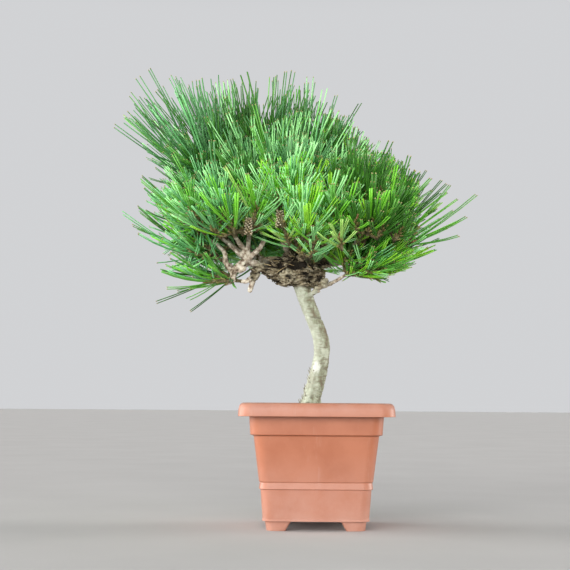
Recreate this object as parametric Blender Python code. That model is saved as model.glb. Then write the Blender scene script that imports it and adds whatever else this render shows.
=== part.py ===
"""Japanese black pine bonsai in its square plastic pot, modelled in Blender at its real size.

The tree is built as it grows: a pot and its soil, a bare leaning trunk that ends in a rough
swollen head, boughs that leave the head, branches that leave the boughs, and at each
branch tip one mass of needles. Sizes are in millimetres and become metres through MM.
X runs to the right, Y to the back and Z up, from the middle of the pot at table height;
the last step moves everything so that the origin is under the middle of the whole plant.
"""

import math
import random

import bmesh
import bpy
from mathutils import Matrix, Quaternion, Vector
from mathutils.noise import noise

MM = 0.001
CLEARANCE = 0.3
UP = Vector((0, 0, 1))
GOLDEN_TURN = math.pi * (3 - math.sqrt(5))

# Pot: widths are across the flats, heights are above the table
POT_HEIGHT = 121.6
LIP_HEIGHT = 12.8
LIP_WIDTH_TOP = 145.0
LIP_WIDTH_BOTTOM = 150.0
LIP_EDGE = 2.6
COLLAR_BOTTOM = 91.4
COLLAR_WIDTH_TOP = 129.2
COLLAR_WIDTH_BOTTOM = 126.5
COLLAR_SLOPE = 1.2
BODY_WIDTH_TOP = 120.4
GROOVE_UPPER = 46.4
GROOVE_LOWER = 39.3
GROOVE_DEPTH = 0.8
GROOVE_SLOPE = 0.4
BODY_WIDTH_GROOVE = 109.6
BODY_WIDTH_BOTTOM = 102.1
BEAD_HEIGHT = 1.6
BEAD_STEP = 1.2
FOOT_HEIGHT = 9.2
FEET_WIDTH_TOP = 98.0
FEET_WIDTH_BOTTOM = 95.0
FOOT_SIDE_TOP = 26.0
FOOT_SIDE_BOTTOM = 18.5
FOOT_OUTER_CORNER = 9.0
FOOT_INNER_CORNER = 2.5
POT_WALL = 2.2
POT_CORNER = 12.0
CORNER_STEPS = 4

# Soil and trunk
GROUND = 116.5
SOIL_EDGE = 110.0
SEAT_RADIUS = 19.0
TRUNK_SIDES = 14
ROOT_FLARE = 4.6
FLARE_HEIGHT = 5.5
ROOTS = 5
ROOT_SHARE = 0.38
FIRST_ROOT = 0.7
OUT_OF_ROUND = 0.35

# The middle line of the trunk, from the ground to inside its swollen head, and its radius there
TRUNK_LINE = [
    ((-4.4, 0, GROUND), 9.6),
    ((-3.4, 1, 126), 9.4),
    ((1.6, 2, 146), 8.8),
    ((5.8, 2, 166), 8.1),
    ((5.6, 1, 184), 8.1),
    ((-1.6, 0, 205), 7.8),
    ((-9.4, 0, 224), 7.8),
    ((-15.0, 0, 240), 8.2),
    ((-20.0, 1, 250), 8.6),
]
TRUNK_RINGS = 14
RINGS_CLOSER_LOW = 1.25

# Lumps of the swollen head: middle and half sizes
HEAD_LUMPS = [
    ((-22, 1, 252), (28, 19, 13)),
    ((-42, -3, 257), (14, 12, 11)),
    ((-2, 3, 249), (11, 11, 9)),
    ((-20, 4, 265), (15, 12, 9)),
    ((-30, -13, 247), (9, 8, 8)),
]
LUMP_ROUGHNESS = 0.1
LUMP_GRAIN = 1.7

# Limbs: what each leaves and how far along it, the points it passes, and its radius at
# its start and at its tip. A limb that carries a mass ends short of that mass's heart.
LIMBS = {
    "bough_left": ("trunk", 0.97, [(-58, -7, 258), (-73, -9, 268), (-96, -8, 288)], 6.0, 2.6),
    "bough_left_back": ("trunk", 0.95, [(-46, 20, 262), (-64, 36, 276), (-78, 49, 289)], 5.5, 2.6),
    "bough_back": ("trunk", 0.95, [(-23, 22, 261), (-23, 32, 265), (-22, 41, 269)], 4.6, 2.4),
    "leader": ("trunk", 1.0, [(-26, 6, 282), (-36, 6, 304), (-46, 4, 326)], 6.5, 3.0),
    "bough_right": ("trunk", 0.95, [(4, 4, 260), (34, 4, 266), (68, 3, 276)], 5.5, 2.6),
    "bough_right_back": ("trunk", 0.97, [(0, 22, 262), (16, 36, 272), (32, 50, 282)], 5.0, 2.6),
    "bough_front": ("trunk", 0.97, [(-17, -18, 261), (-14, -32, 269), (-13, -43, 275)], 4.6, 2.4),
    "branch_left_low": ("bough_left", 0.5, [(-78, -8, 254), (-86, -6, 258), (-94, -4, 264)], 3.0, 2.0),
    "branch_bottom_left": ("bough_left", 0.36, [(-64, -12, 248), (-69, -14, 242), (-75, -14, 242)], 3.0, 1.9),
    "branch_front_left": ("bough_left", 0.6, [(-73, -18, 274), (-77, -32, 279), (-80, -44, 283)], 2.8, 2.0),
    "branch_upper_left": ("leader", 0.62, [(-56, 2, 316), (-76, -1, 323), (-92, -3, 330)], 3.0, 2.0),
    "branch_top_left": ("leader", 0.8, [(-54, 10, 326), (-62, 14, 332), (-72, 17, 338)], 2.8, 2.0),
    "branch_top_right": ("leader", 0.66, [(-30, 6, 322), (-22, 5, 328), (-18, 4, 332)], 2.8, 2.0),
    "branch_back_top": ("leader", 0.5, [(-34, 22, 306), (-35, 34, 312), (-36, 42, 317)], 2.8, 2.0),
    "branch_front_top": ("leader", 0.45, [(-33, -14, 302), (-34, -26, 308), (-34, -37, 313)], 2.8, 2.0),
    "branch_upper_right": ("bough_right", 0.4, [(8, 0, 284), (12, -1, 300), (16, -2, 316)], 3.0, 2.0),
    "branch_front_right": ("bough_right", 0.5, [(28, -14, 270), (34, -30, 275), (41, -46, 281)], 2.8, 2.0),
    "branch_shoulder": ("bough_right", 0.68, [(48, -1, 286), (56, -3, 298), (62, -4, 307)], 2.6, 1.9),
    "branch_right_low": ("trunk", 0.86, [(4, -4, 238), (14, -10, 240), (30, -20, 249)], 2.2, 1.7),
}
LIMB_STEPS = 6
THICK_LIMB = 4
KNUCKLES = 17
KNUCKLE_SHARE = 0.12

# Masses of needles: the limb that carries it, its heart, how far its shoots spread from
# the heart each way, how long its needles are, which way it faces, and how wide it fans
MASSES = {
    "needles_upper_left": ("branch_upper_left", (-104, -6, 338), (13, 22, 10), 98, (-0.95, 0, 1.0), 32),
    "needles_top_left": ("branch_top_left", (-80, 18, 345), (14, 22, 10), 88, (-0.15, 0.1, 1.0), 20),
    "needles_top": ("leader", (-50, 2, 346), (16, 22, 10), 88, (0.0, -0.05, 1.0), 22),
    "needles_top_right": ("branch_top_right", (-14, 4, 343), (18, 24, 10), 86, (0.2, 0, 1.0), 22),
    "needles_back_top": ("branch_back_top", (-36, 50, 322), (34, 22, 16), 74, (0.0, 0.5, 1.0), 36),
    "needles_front_top": ("branch_front_top", (-34, -46, 318), (32, 20, 16), 66, (-0.1, -0.45, 1.0), 36),
    "needles_upper_right": ("branch_upper_right", (18, -2, 326), (20, 26, 12), 68, (0.45, 0, 1.0), 26),
    "needles_shoulder": ("branch_shoulder", (68, -4, 310), (28, 30, 16), 36, (0.5, 0, 1.0), 46),
    "needles_right": ("bough_right", (82, 2, 281), (18, 28, 16), 56, (1.0, 0, 0.5), 34),
    "needles_right_low": ("branch_right_low", (42, -26, 254), (16, 16, 4), 44, (1.0, -0.25, 0.0), 40),
    "needles_front_right": ("branch_front_right", (46, -58, 290), (30, 24, 20), 50, (0.25, -0.65, 1.0), 48),
    "needles_front": ("bough_front", (-14, -54, 281), (22, 20, 10), 54, (0.1, -0.7, 0.9), 44),
    "needles_front_left": ("branch_front_left", (-84, -54, 288), (28, 22, 18), 62, (-0.35, -0.7, 0.9), 42),
    "needles_left": ("bough_left", (-113, -6, 300), (14, 26, 14), 64, (-0.95, 0, 0.7), 34),
    "needles_left_low": ("branch_left_low", (-107, -2, 268), (11, 22, 7), 68, (-1.0, 0, 0.3), 30),
    "needles_bottom_left": ("branch_bottom_left", (-84, -14, 243), (6, 12, 4), 54, (-1.0, -0.1, -0.1), 30),
    "needles_back_left": ("bough_left_back", (-86, 58, 300), (32, 24, 22), 70, (-0.5, 0.8, 0.9), 42),
    "needles_back": ("bough_back", (-22, 58, 283), (28, 20, 12), 56, (0.0, 0.8, 0.8), 44),
    "needles_back_right": ("bough_right_back", (42, 58, 290), (32, 26, 22), 58, (0.4, 0.8, 0.9), 45),
}
SHOOTS = 4
NEEDLES_A_SHOOT = 7
SHOOT_LENGTH = 24
SHOOT_RADIUS = 3.2
SHOOT_SIDES = 5
TWIG_RADIUS = 1.7
NEEDLE_ROOT_RADIUS = 1.25
NEEDLE_TIP_RADIUS = 0.6
NEEDLE_OFFSET = 0.9
SUNK_SHARE = 0.06
TILT_AT_TIP = 8
TILT_JITTER = 6
SHOOT_FAN = 80
SHOOT_LIFT = 0.2
FIRST_NEEDLE = 0.15
NEEDLED_SHARE = 0.6
TWIG_INTO_SHOOT = 2
OWN_WOOD = 4
TRIES_A_NEEDLE = 12


def millimetres(x, y, z):
    return Vector((x, y, z)) * MM


def material(name, colour, roughness):
    """A plain plastic, bark or leaf finish: no metal anywhere on the plant."""
    finish = bpy.data.materials.new(name)
    finish.use_nodes = True
    shader = finish.node_tree.nodes["Principled BSDF"]
    shader.inputs["Base Color"].default_value = (*colour, 1)
    shader.inputs["Roughness"].default_value = roughness
    shader.inputs["Metallic"].default_value = 0
    finish.diffuse_color = (*colour, 1)
    return finish


def new_object(name, bm, collection, finish=None):
    mesh = bpy.data.meshes.new(name)
    bm.to_mesh(mesh)
    bm.free()
    obj = bpy.data.objects.new(name, mesh)
    collection.objects.link(obj)
    if finish:
        mesh.materials.append(finish)
    return obj


def remove_object(obj):
    mesh = obj.data
    bpy.data.objects.remove(obj)
    if mesh.users == 0:
        bpy.data.meshes.remove(mesh)


def hide_cutter(obj):
    obj.hide_render = True
    obj.display_type = "WIRE"


def shade(obj):
    obj.data.shade_smooth()
    obj.data.set_sharp_from_angle(angle=math.radians(40))


def apply_modifiers(obj):
    graph = bpy.context.evaluated_depsgraph_get()
    mesh = bpy.data.meshes.new_from_object(obj.evaluated_get(graph))
    old = obj.data
    obj.modifiers.clear()
    obj.data = mesh
    bpy.data.meshes.remove(old)
    mesh.name = obj.name


def boolean(obj, others, operation, solver="EXACT"):
    """Joins to the object, or cuts from it, every object of a list, which is then removed."""
    operands = bpy.data.collections.new("operands")
    bpy.context.scene.collection.children.link(operands)
    for other in others:
        for collection in list(other.users_collection):
            collection.objects.unlink(other)
        operands.objects.link(other)
    modifier = obj.modifiers.new(operation.lower(), "BOOLEAN")
    modifier.operation = operation
    modifier.operand_type = "COLLECTION"
    modifier.collection = operands
    modifier.solver = solver
    apply_modifiers(obj)
    for other in list(operands.objects):
        remove_object(other)
    bpy.data.collections.remove(operands)


def keep_largest_piece(obj):
    """Drops the loose scraps that a cut leaves, and with them any hollow sealed inside."""
    bm = bmesh.new()
    bm.from_mesh(obj.data)
    pieces = []
    left = set(bm.faces)
    while left:
        reached = {left.pop()}
        edge_of_reach = list(reached)
        while edge_of_reach:
            face = edge_of_reach.pop()
            for edge in face.edges:
                for other in edge.link_faces:
                    if other not in reached:
                        reached.add(other)
                        edge_of_reach.append(other)
        left -= reached
        pieces.append(reached)
    largest = max(pieces, key=lambda piece: sum(face.calc_area() for face in piece))
    scraps = [face for face in bm.faces if face not in largest]
    bmesh.ops.delete(bm, geom=scraps, context="FACES")
    bm.to_mesh(obj.data)
    bm.free()


def loft(bm, rings):
    """Skins a row of rings with the same number of points each, and closes both ends."""
    rows = [[bm.verts.new(point) for point in ring] for ring in rings]
    count = len(rows[0])
    for lower, upper in zip(rows, rows[1:]):
        for i in range(count):
            j = (i + 1) % count
            bm.faces.new((lower[i], lower[j], upper[j], upper[i]))
    bm.faces.new(reversed(rows[0]))
    bm.faces.new(rows[-1])
    bmesh.ops.recalc_face_normals(bm, faces=bm.faces)


def rounded_square(width, corner, z):
    """The outline of a square with round corners, anticlockwise from the right-hand side."""
    inner = width / 2 - corner
    points = []
    for quarter in range(4):
        middle = Matrix.Rotation(quarter * math.pi / 2, 3, "Z") @ Vector((inner, inner, z))
        for step in range(CORNER_STEPS + 1):
            angle = (quarter + step / CORNER_STEPS) * math.pi / 2
            offset = Vector((math.cos(angle), math.sin(angle), 0)) * corner
            points.append((middle + offset) * MM)
    return points


def body_width(z):
    """Outer width of the pot's body at a height: two straight tapers that meet at the groove."""
    if z < GROOVE_LOWER:
        share = (z - FOOT_HEIGHT) / (GROOVE_LOWER - FOOT_HEIGHT)
        return BODY_WIDTH_BOTTOM + share * (BODY_WIDTH_GROOVE - 3 - BODY_WIDTH_BOTTOM)
    share = (z - GROOVE_UPPER) / (COLLAR_BOTTOM - GROOVE_UPPER)
    return BODY_WIDTH_GROOVE + share * (BODY_WIDTH_TOP - BODY_WIDTH_GROOVE)


def inner_width(z):
    return body_width(z) - 2 * POT_WALL


def pot_profile():
    """Widths and heights of the pot's wall, up the outside, over the lip and down inside."""
    lip_bottom = POT_HEIGHT - LIP_HEIGHT
    groove = 2 * GROOVE_DEPTH
    skirt = LIP_WIDTH_BOTTOM - 2 * POT_WALL
    mouth = COLLAR_WIDTH_TOP - 2 * POT_WALL
    outside = [
        (BODY_WIDTH_BOTTOM + BEAD_STEP, FOOT_HEIGHT),
        (BODY_WIDTH_BOTTOM + BEAD_STEP, FOOT_HEIGHT + BEAD_HEIGHT),
        (body_width(FOOT_HEIGHT + BEAD_HEIGHT), FOOT_HEIGHT + BEAD_HEIGHT + GROOVE_SLOPE),
        (body_width(GROOVE_LOWER - 0.1), GROOVE_LOWER),
        (body_width(GROOVE_LOWER) + groove, GROOVE_LOWER + GROOVE_SLOPE),
        (body_width(GROOVE_UPPER) - groove, GROOVE_UPPER - GROOVE_SLOPE),
        (body_width(GROOVE_UPPER), GROOVE_UPPER + GROOVE_SLOPE),
        (BODY_WIDTH_TOP, COLLAR_BOTTOM - COLLAR_SLOPE),
        (COLLAR_WIDTH_BOTTOM, COLLAR_BOTTOM),
        (COLLAR_WIDTH_TOP, lip_bottom + 1),
        (COLLAR_WIDTH_TOP + 1, POT_HEIGHT - POT_WALL),
        (skirt - 4, POT_HEIGHT - POT_WALL),
        (skirt, lip_bottom),
        (LIP_WIDTH_BOTTOM, lip_bottom),
        (LIP_WIDTH_TOP, POT_HEIGHT - LIP_EDGE),
        (LIP_WIDTH_TOP - 0.6 * LIP_EDGE, POT_HEIGHT - 0.3 * LIP_EDGE),
        (LIP_WIDTH_TOP - 2 * LIP_EDGE, POT_HEIGHT),
    ]
    inside = [
        (mouth, POT_HEIGHT),
        (mouth - 1, POT_HEIGHT - POT_WALL),
        (COLLAR_WIDTH_BOTTOM - 2 * POT_WALL, COLLAR_BOTTOM + POT_WALL),
        (inner_width(COLLAR_BOTTOM), COLLAR_BOTTOM),
        (inner_width(GROOVE_UPPER), GROOVE_UPPER),
        (inner_width(GROOVE_LOWER - 1), GROOVE_LOWER - 1),
        (inner_width(FOOT_HEIGHT + POT_WALL), FOOT_HEIGHT + POT_WALL),
    ]
    return outside + inside


def corner_radius(width):
    """The corners keep their share of the width, and are at most a little wider at the lip."""
    return POT_CORNER * width / BODY_WIDTH_TOP


def make_foot(turn):
    """One corner foot: a short tapered block under the pot's floor, slanted on its inner sides."""
    bm = bmesh.new()
    bmesh.ops.create_cube(bm, size=1)
    for vert in bm.verts:
        top = vert.co.z > 0
        outer = (FEET_WIDTH_TOP if top else FEET_WIDTH_BOTTOM) / 2
        side = FOOT_SIDE_TOP if top else FOOT_SIDE_BOTTOM
        z = FOOT_HEIGHT + POT_WALL / 2 if top else 0
        x = outer if vert.co.x > 0 else outer - side
        y = outer if vert.co.y > 0 else outer - side
        vert.co = millimetres(x, y, z)
    upright = [e for e in bm.edges if abs(e.verts[0].co.z - e.verts[1].co.z) > FOOT_HEIGHT / 2 * MM]
    outside = max(upright, key=lambda e: e.verts[0].co.x + e.verts[0].co.y)
    others = [edge for edge in upright if edge is not outside]
    for edges, radius in (([outside], FOOT_OUTER_CORNER), (others, FOOT_INNER_CORNER)):
        bmesh.ops.bevel(
            bm,
            geom=edges,
            offset=radius * MM,
            offset_type="OFFSET",
            affect="EDGES",
            segments=3,
            profile=0.5,
            material=-1,
        )
    bmesh.ops.rotate(bm, verts=bm.verts, matrix=Matrix.Rotation(turn, 3, "Z"))
    return bm


def make_pot(parts, finish):
    """A moulded square pot: thin wall, hollow overhanging lip, collar, two lines and four feet."""
    bm = bmesh.new()
    loft(bm, [rounded_square(width, corner_radius(width), z) for width, z in pot_profile()])
    pot = new_object("pot", bm, parts, finish)
    feet = []
    for quarter in range(4):
        feet.append(new_object("foot", make_foot(quarter * math.pi / 2), parts))
    boolean(pot, feet, "UNION")
    shade(pot)
    return pot


def make_soil(parts, finish):
    """Soil that fills the pot, mounded up to a flat seat under the trunk."""
    gap = 2 * CLEARANCE
    heights = [FOOT_HEIGHT + POT_WALL + CLEARANCE, GROOVE_LOWER - 1, GROOVE_UPPER, COLLAR_BOTTOM]
    rings = []
    for z in heights:
        width = inner_width(z) - gap
        rings.append(rounded_square(width, corner_radius(width), z))
    width = COLLAR_WIDTH_BOTTOM - 2 * POT_WALL - gap
    rings.append(rounded_square(width, corner_radius(width), COLLAR_BOTTOM + POT_WALL + CLEARANCE))
    rings.append(rounded_square(width, corner_radius(width), SOIL_EDGE))
    trunk_foot = Vector(TRUNK_LINE[0][0])
    for share in (0.25, 0.5, 0.75, 1):
        z = SOIL_EDGE + (GROUND - CLEARANCE - SOIL_EDGE) * math.sin(share * math.pi / 2)
        flat = width + share * (2 * SEAT_RADIUS - width)
        corner = corner_radius(width) + share * (SEAT_RADIUS - corner_radius(width))
        ring = rounded_square(flat, min(corner, flat / 2 - 0.01), z)
        shift = millimetres(trunk_foot.x * share, trunk_foot.y * share, 0)
        rings.append([point + shift for point in ring])
    bm = bmesh.new()
    loft(bm, rings)
    soil = new_object("soil", bm, parts, finish)
    shade(soil)
    return soil


def smooth_line(points, share):
    """A point on the Catmull-Rom curve through a list of vectors, share 0 to 1 along it."""
    last = len(points) - 1
    place = min(max(share, 0), 1) * last
    i = min(int(place), last - 1)
    t = place - i
    p1, p2 = points[i], points[i + 1]
    p0 = points[i - 1] if i > 0 else p1 + (p1 - p2)
    p3 = points[i + 2] if i + 2 <= last else p2 + (p2 - p1)
    bend = 2 * p0 - 5 * p1 + 4 * p2 - p3
    twist = 3 * (p1 - p2) + p3 - p0
    return 0.5 * (2 * p1 + (p2 - p0) * t + bend * t * t + twist * t**3)


def trunk_middle(share):
    return smooth_line([Vector(point) for point, radius in TRUNK_LINE], share)


def trunk_radius(share, angle, grow):
    """The trunk's taper, with its roots spreading in lobes near the ground."""
    radius = smooth_line([Vector((r, 0, 0)) for point, r in TRUNK_LINE], share).x
    height = trunk_middle(share).z - GROUND
    flare = ROOT_FLARE * math.exp(-height / FLARE_HEIGHT)
    lobes = 1 + ROOT_SHARE * math.cos(ROOTS * angle + FIRST_ROOT)
    waist = OUT_OF_ROUND * math.cos(2 * angle + height / 14)
    return radius + flare * lobes + waist + grow


def trunk_rings(grow):
    """Level at the ground, where the trunk is cut flat, and square to the trunk above."""
    rings = []
    for i in range(TRUNK_RINGS + 1):
        share = (i / TRUNK_RINGS) ** RINGS_CLOSER_LOW
        middle = trunk_middle(share)
        ahead = trunk_middle(min(share + 0.02, 1)) - trunk_middle(max(share - 0.02, 0))
        turn = UP.rotation_difference(ahead) if i else Quaternion()
        ring = []
        for side in range(TRUNK_SIDES):
            angle = side * 2 * math.pi / TRUNK_SIDES
            radius = trunk_radius(share, angle, grow)
            out = turn @ Vector((math.cos(angle), math.sin(angle), 0))
            ring.append((middle + out * radius) * MM)
        rings.append(ring)
    return rings


def lump(middle, half_sizes, grow, seed):
    """One knobby swelling of the head."""
    bm = bmesh.new()
    bmesh.ops.create_icosphere(bm, subdivisions=2, radius=1)
    for vert in bm.verts:
        bump = 1 + LUMP_ROUGHNESS * noise(vert.co * LUMP_GRAIN + Vector((seed * 9, 0, 0)))
        direction = vert.co.normalized()
        stretched = Vector([d * size for d, size in zip(direction, half_sizes)])
        vert.co = (Vector(middle) + stretched * bump + direction * grow) * MM
    return bm


def make_trunk_solid(name, collection, finish, grow=0):
    """The trunk and its swollen head as one body, or a slightly larger copy to cut with."""
    bm = bmesh.new()
    loft(bm, trunk_rings(grow))
    trunk = new_object(name, bm, collection, finish)
    lumps = []
    for seed, (middle, half_sizes) in enumerate(HEAD_LUMPS):
        lumps.append(new_object("lump", lump(middle, half_sizes, grow, seed), collection))
    boolean(trunk, lumps, "UNION", "MANIFOLD")
    return trunk


def limb_line(name):
    """The points that a limb passes, from inside what it leaves to its tip."""
    parent, share, points, first_radius, last_radius = LIMBS[name]
    if parent == "trunk":
        start = trunk_middle(share)
    else:
        start = limb_point(parent, share)
    return [start] + [Vector(point) for point in points]


def limb_point(name, share):
    return smooth_line(limb_line(name), share)


def limb_radius(name, share):
    """A limb tapers evenly, with shallow swellings where old shoots were cut."""
    parent, leaves_at, points, first_radius, last_radius = LIMBS[name]
    swelling = KNUCKLE_SHARE * math.sin(share * KNUCKLES + len(name)) * (1 - share)
    return first_radius + share * (last_radius - first_radius) + first_radius * swelling


def make_limb_solid(limb_name, name, collection, finish, grow=0):
    """A tapering tube as a curve, turned into a mesh with its caps welded."""
    curve = bpy.data.curves.new(name, "CURVE")
    curve.dimensions = "3D"
    curve.bevel_depth = MM
    curve.bevel_resolution = 2 if LIMBS[limb_name][3] > THICK_LIMB else 1
    curve.use_fill_caps = True
    spline = curve.splines.new("POLY")
    spline.points.add(LIMB_STEPS)
    for i, point in enumerate(spline.points):
        share = i / LIMB_STEPS
        point.co = (*(limb_point(limb_name, share) * MM), 1)
        point.radius = limb_radius(limb_name, share) + grow
    guide = bpy.data.objects.new(name + "_line", curve)
    collection.objects.link(guide)
    graph = bpy.context.evaluated_depsgraph_get()
    mesh = bpy.data.meshes.new_from_object(guide.evaluated_get(graph))
    bm = bmesh.new()
    bm.from_mesh(mesh)
    bmesh.ops.remove_doubles(bm, verts=bm.verts, dist=0.00001)
    bpy.data.meshes.remove(mesh)
    limb = new_object(name, bm, collection, finish)
    limb.matrix_world = guide.matrix_world.copy()
    bpy.data.objects.remove(guide)
    bpy.data.curves.remove(curve)
    return limb


def make_limb(name, parts, cutters, finish):
    """A limb, cut off a hair clear of what it grows from."""
    limb = make_limb_solid(name, name, parts, finish)
    parent = LIMBS[name][0]
    if parent == "trunk":
        cutter = make_trunk_solid("trunk_cutter", cutters, None, CLEARANCE)
    else:
        cutter = make_limb_solid(parent, "limb_cutter", cutters, None, CLEARANCE)
    hide_cutter(cutter)
    boolean(limb, [cutter], "DIFFERENCE")
    keep_largest_piece(limb)
    shade(limb)
    return limb


def reach_share(point, mass):
    """How far out a point lies in a mass's space: 0 at its heart and 1 at its edge."""
    limb, heart, spread, length, facing, fan = MASSES[mass]
    offset = point - Vector(heart)
    return math.sqrt(sum((d / (s + SHOOT_LENGTH + length)) ** 2 for d, s in zip(offset, spread)))


def distance_to_run(point, start, end):
    """Distance from a point to the straight run between two others."""
    run = end - start
    share = max(0, min(1, (point - start).dot(run) / run.length_squared))
    return (point - start - run * share).length


def limb_runs():
    """Every limb and the trunk as short runs with a radius, for keeping needles off them."""
    runs = []
    for name in LIMBS:
        for i in range(LIMB_STEPS):
            start = limb_point(name, i / LIMB_STEPS)
            end = limb_point(name, (i + 1) / LIMB_STEPS)
            runs.append((start, end, limb_radius(name, i / LIMB_STEPS)))
    for middle, half_sizes in HEAD_LUMPS:
        reach = Vector((half_sizes[0] * 0.5, 0, 0))
        runs.append((Vector(middle) - reach, Vector(middle) + reach, max(half_sizes[1:]) * 1.15))
    for i in range(TRUNK_RINGS):
        start = trunk_middle(i / TRUNK_RINGS)
        end = trunk_middle((i + 1) / TRUNK_RINGS)
        runs.append((start, end, TRUNK_LINE[0][1]))
    return runs


def gap_between(start, end, other_start, other_end):
    """Shortest distance between two straight runs."""
    run = end - start
    other = other_end - other_start
    apart = start - other_start
    a, b, c = run.length_squared, run.dot(other), run.dot(apart)
    e, f = other.length_squared, other.dot(apart)
    spread = a * e - b * b
    share = min(max((b * f - c * e) / spread, 0), 1) if spread > 0.001 else 0
    other_share = (b * share + f) / e
    if not 0 <= other_share <= 1:
        other_share = min(max(other_share, 0), 1)
        share = min(max((b * other_share - c) / a, 0), 1)
    return (start + run * share - other_start - other * other_share).length


def clear_of(start, end, runs, own_radius):
    """True if a straight run of some radius stays off all the others."""
    middle = (start + end) / 2
    reach = (end - start).length / 2 + own_radius + CLEARANCE
    for other_start, other_end, radius in runs:
        half_length = (other_end - other_start).length / 2
        if (middle - (other_start + other_end) / 2).length > reach + half_length + radius:
            continue
        if gap_between(start, end, other_start, other_end) < radius + own_radius + CLEARANCE:
            return False
    return True


def even_share(i):
    """The i-th of a row of numbers that fills 0 to 1 evenly however long the row is."""
    share, half = 0, 0.5
    while i:
        share += half * (i % 2)
        i //= 2
        half /= 2
    return share


def shoots_of(mass, count):
    """The shoots of a mass: foot, tip and axis of each, spread evenly about its heart."""
    limb, heart, spread, length, facing, fan = MASSES[mass]
    rng = random.Random(mass)
    facing = Vector(facing).normalized()
    shoots = []
    for i in range(count):
        height = 1 - 2 * even_share(i + 1)
        turn = i * GOLDEN_TURN + rng.uniform(-0.3, 0.3)
        flat = math.sqrt(1 - height * height)
        out = Vector((math.cos(turn) * flat, math.sin(turn) * flat, height))
        foot = Vector(heart) + Vector([d * s for d, s in zip(out, spread)]) * rng.uniform(0.7, 1)
        axis = (facing + out * fan / SHOOT_FAN + SHOOT_LIFT * UP).normalized()
        shoots.append((foot, foot + axis * SHOOT_LENGTH, axis))
    return shoots


def needle_at(mass, shoot, share, turn, rng):
    """Root, direction and length of a needle some way up a shoot."""
    length, facing, fan = MASSES[mass][3:]
    foot, tip, axis = shoot
    tilt = math.radians(fan + share * (TILT_AT_TIP - fan) + rng.uniform(-TILT_JITTER, TILT_JITTER))
    side = Quaternion(axis, turn) @ axis.orthogonal().normalized()
    root = foot.lerp(tip, FIRST_NEEDLE + NEEDLED_SHARE * share) + side * NEEDLE_OFFSET
    direction = axis * math.cos(tilt) + side * math.sin(tilt)
    return root, direction, length * rng.uniform(0.86, 1.04)


def fits(mass, root, end, taken):
    """True if a needle stays in its mass's space and off everything already there."""
    start = root.lerp(end, SUNK_SHARE)
    if reach_share(end, mass) > 1:
        return False
    return clear_of(start, end, taken, NEEDLE_ROOT_RADIUS)


def needles_of(mass, shoot, rng, taken):
    """Needles round one shoot at the golden turn, the lower ones leaning out further."""
    needles = []
    turn = rng.uniform(0, 2 * math.pi)
    for i in range(NEEDLES_A_SHOOT):
        share = (i + 0.5) / NEEDLES_A_SHOOT
        for attempt in range(TRIES_A_NEEDLE):
            turn += GOLDEN_TURN + rng.uniform(-0.25, 0.25) * (attempt > 0)
            root, direction, length = needle_at(mass, shoot, share, turn, rng)
            end = root + direction * length
            if fits(mass, root, end, taken + needles):
                needles.append((root, end, NEEDLE_ROOT_RADIUS))
                break
    return needles


def cone(start, end, first_radius, last_radius, sides):
    """A slim solid cone frustum between two points."""
    bm = bmesh.new()
    run = end - start
    turn = run.to_track_quat("Z", "Y").to_matrix().to_4x4()
    bmesh.ops.create_cone(
        bm,
        cap_ends=True,
        cap_tris=True,
        segments=sides,
        radius1=first_radius * MM,
        radius2=last_radius * MM,
        depth=run.length * MM,
        matrix=Matrix.Translation((start + end) / 2 * MM) @ turn,
    )
    return bm


def shoot_core(foot, tip):
    """The slim spindle that a shoot's needles stand out of."""
    bm = bmesh.new()
    axis = (tip - foot).normalized()
    side = axis.orthogonal().normalized()
    rings = []
    for share, width in ((-0.05, 0.7), (0.6, 1.0), (1.04, 0.4)):
        ring = []
        for i in range(SHOOT_SIDES):
            out = Quaternion(axis, i * 2 * math.pi / SHOOT_SIDES) @ side
            ring.append((foot.lerp(tip, share) + out * SHOOT_RADIUS * width) * MM)
        rings.append(ring)
    loft(bm, rings)
    return bm


def twigs_of(mass):
    """The stem from the limb's tip to the heart, and from there a twig to each shoot."""
    limb, heart = MASSES[mass][:2]
    tip = limb_point(limb, 1)
    ahead = (tip - limb_point(limb, 1 - 1 / LIMB_STEPS)).normalized()
    radius = LIMBS[limb][4]
    slant = radius * math.sin((Vector(heart) - tip).angle(ahead))
    twigs = [(tip + ahead * (CLEARANCE + slant), Vector(heart), radius)]
    for foot, shoot_tip, axis in shoots_of(mass, SHOOTS):
        twigs.append((Vector(heart), foot + axis * TWIG_INTO_SHOOT, TWIG_RADIUS))
    return twigs


def wood_of(mass):
    """The twigs and shoots of a mass, as runs that needles keep off."""
    shoots = [(foot, tip, SHOOT_RADIUS) for foot, tip, axis in shoots_of(mass, SHOOTS)]
    return twigs_of(mass) + shoots


def make_mass(mass, parts, taken, finish):
    """One mass of needles as one closed body: stem, twigs, shoots and needles fused."""
    rng = random.Random(mass + " needles")
    twigs = twigs_of(mass)
    start, end, radius = twigs[0]
    body = new_object(mass, cone(start, end, radius, TWIG_RADIUS, 3), parts, finish)
    pieces = []
    for start, end, radius in twigs[1:]:
        pieces.append(new_object("twig", cone(start, end, radius, radius * 0.9, 3), parts))
    needles = []
    for shoot in shoots_of(mass, SHOOTS):
        foot, tip, axis = shoot
        pieces.append(new_object("shoot", shoot_core(foot, tip), parts))
        apart = [run for run in wood_of(mass) if distance_to_run(foot, run[0], run[1]) > OWN_WOOD]
        needles += needles_of(mass, shoot, rng, taken + apart + needles)
    for root, end, radius in needles:
        needle = cone(root, end, NEEDLE_ROOT_RADIUS, NEEDLE_TIP_RADIUS, 3)
        pieces.append(new_object("needle", needle, parts))
    boolean(body, pieces, "UNION", "MANIFOLD")
    keep_largest_piece(body)
    return body, needles


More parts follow.
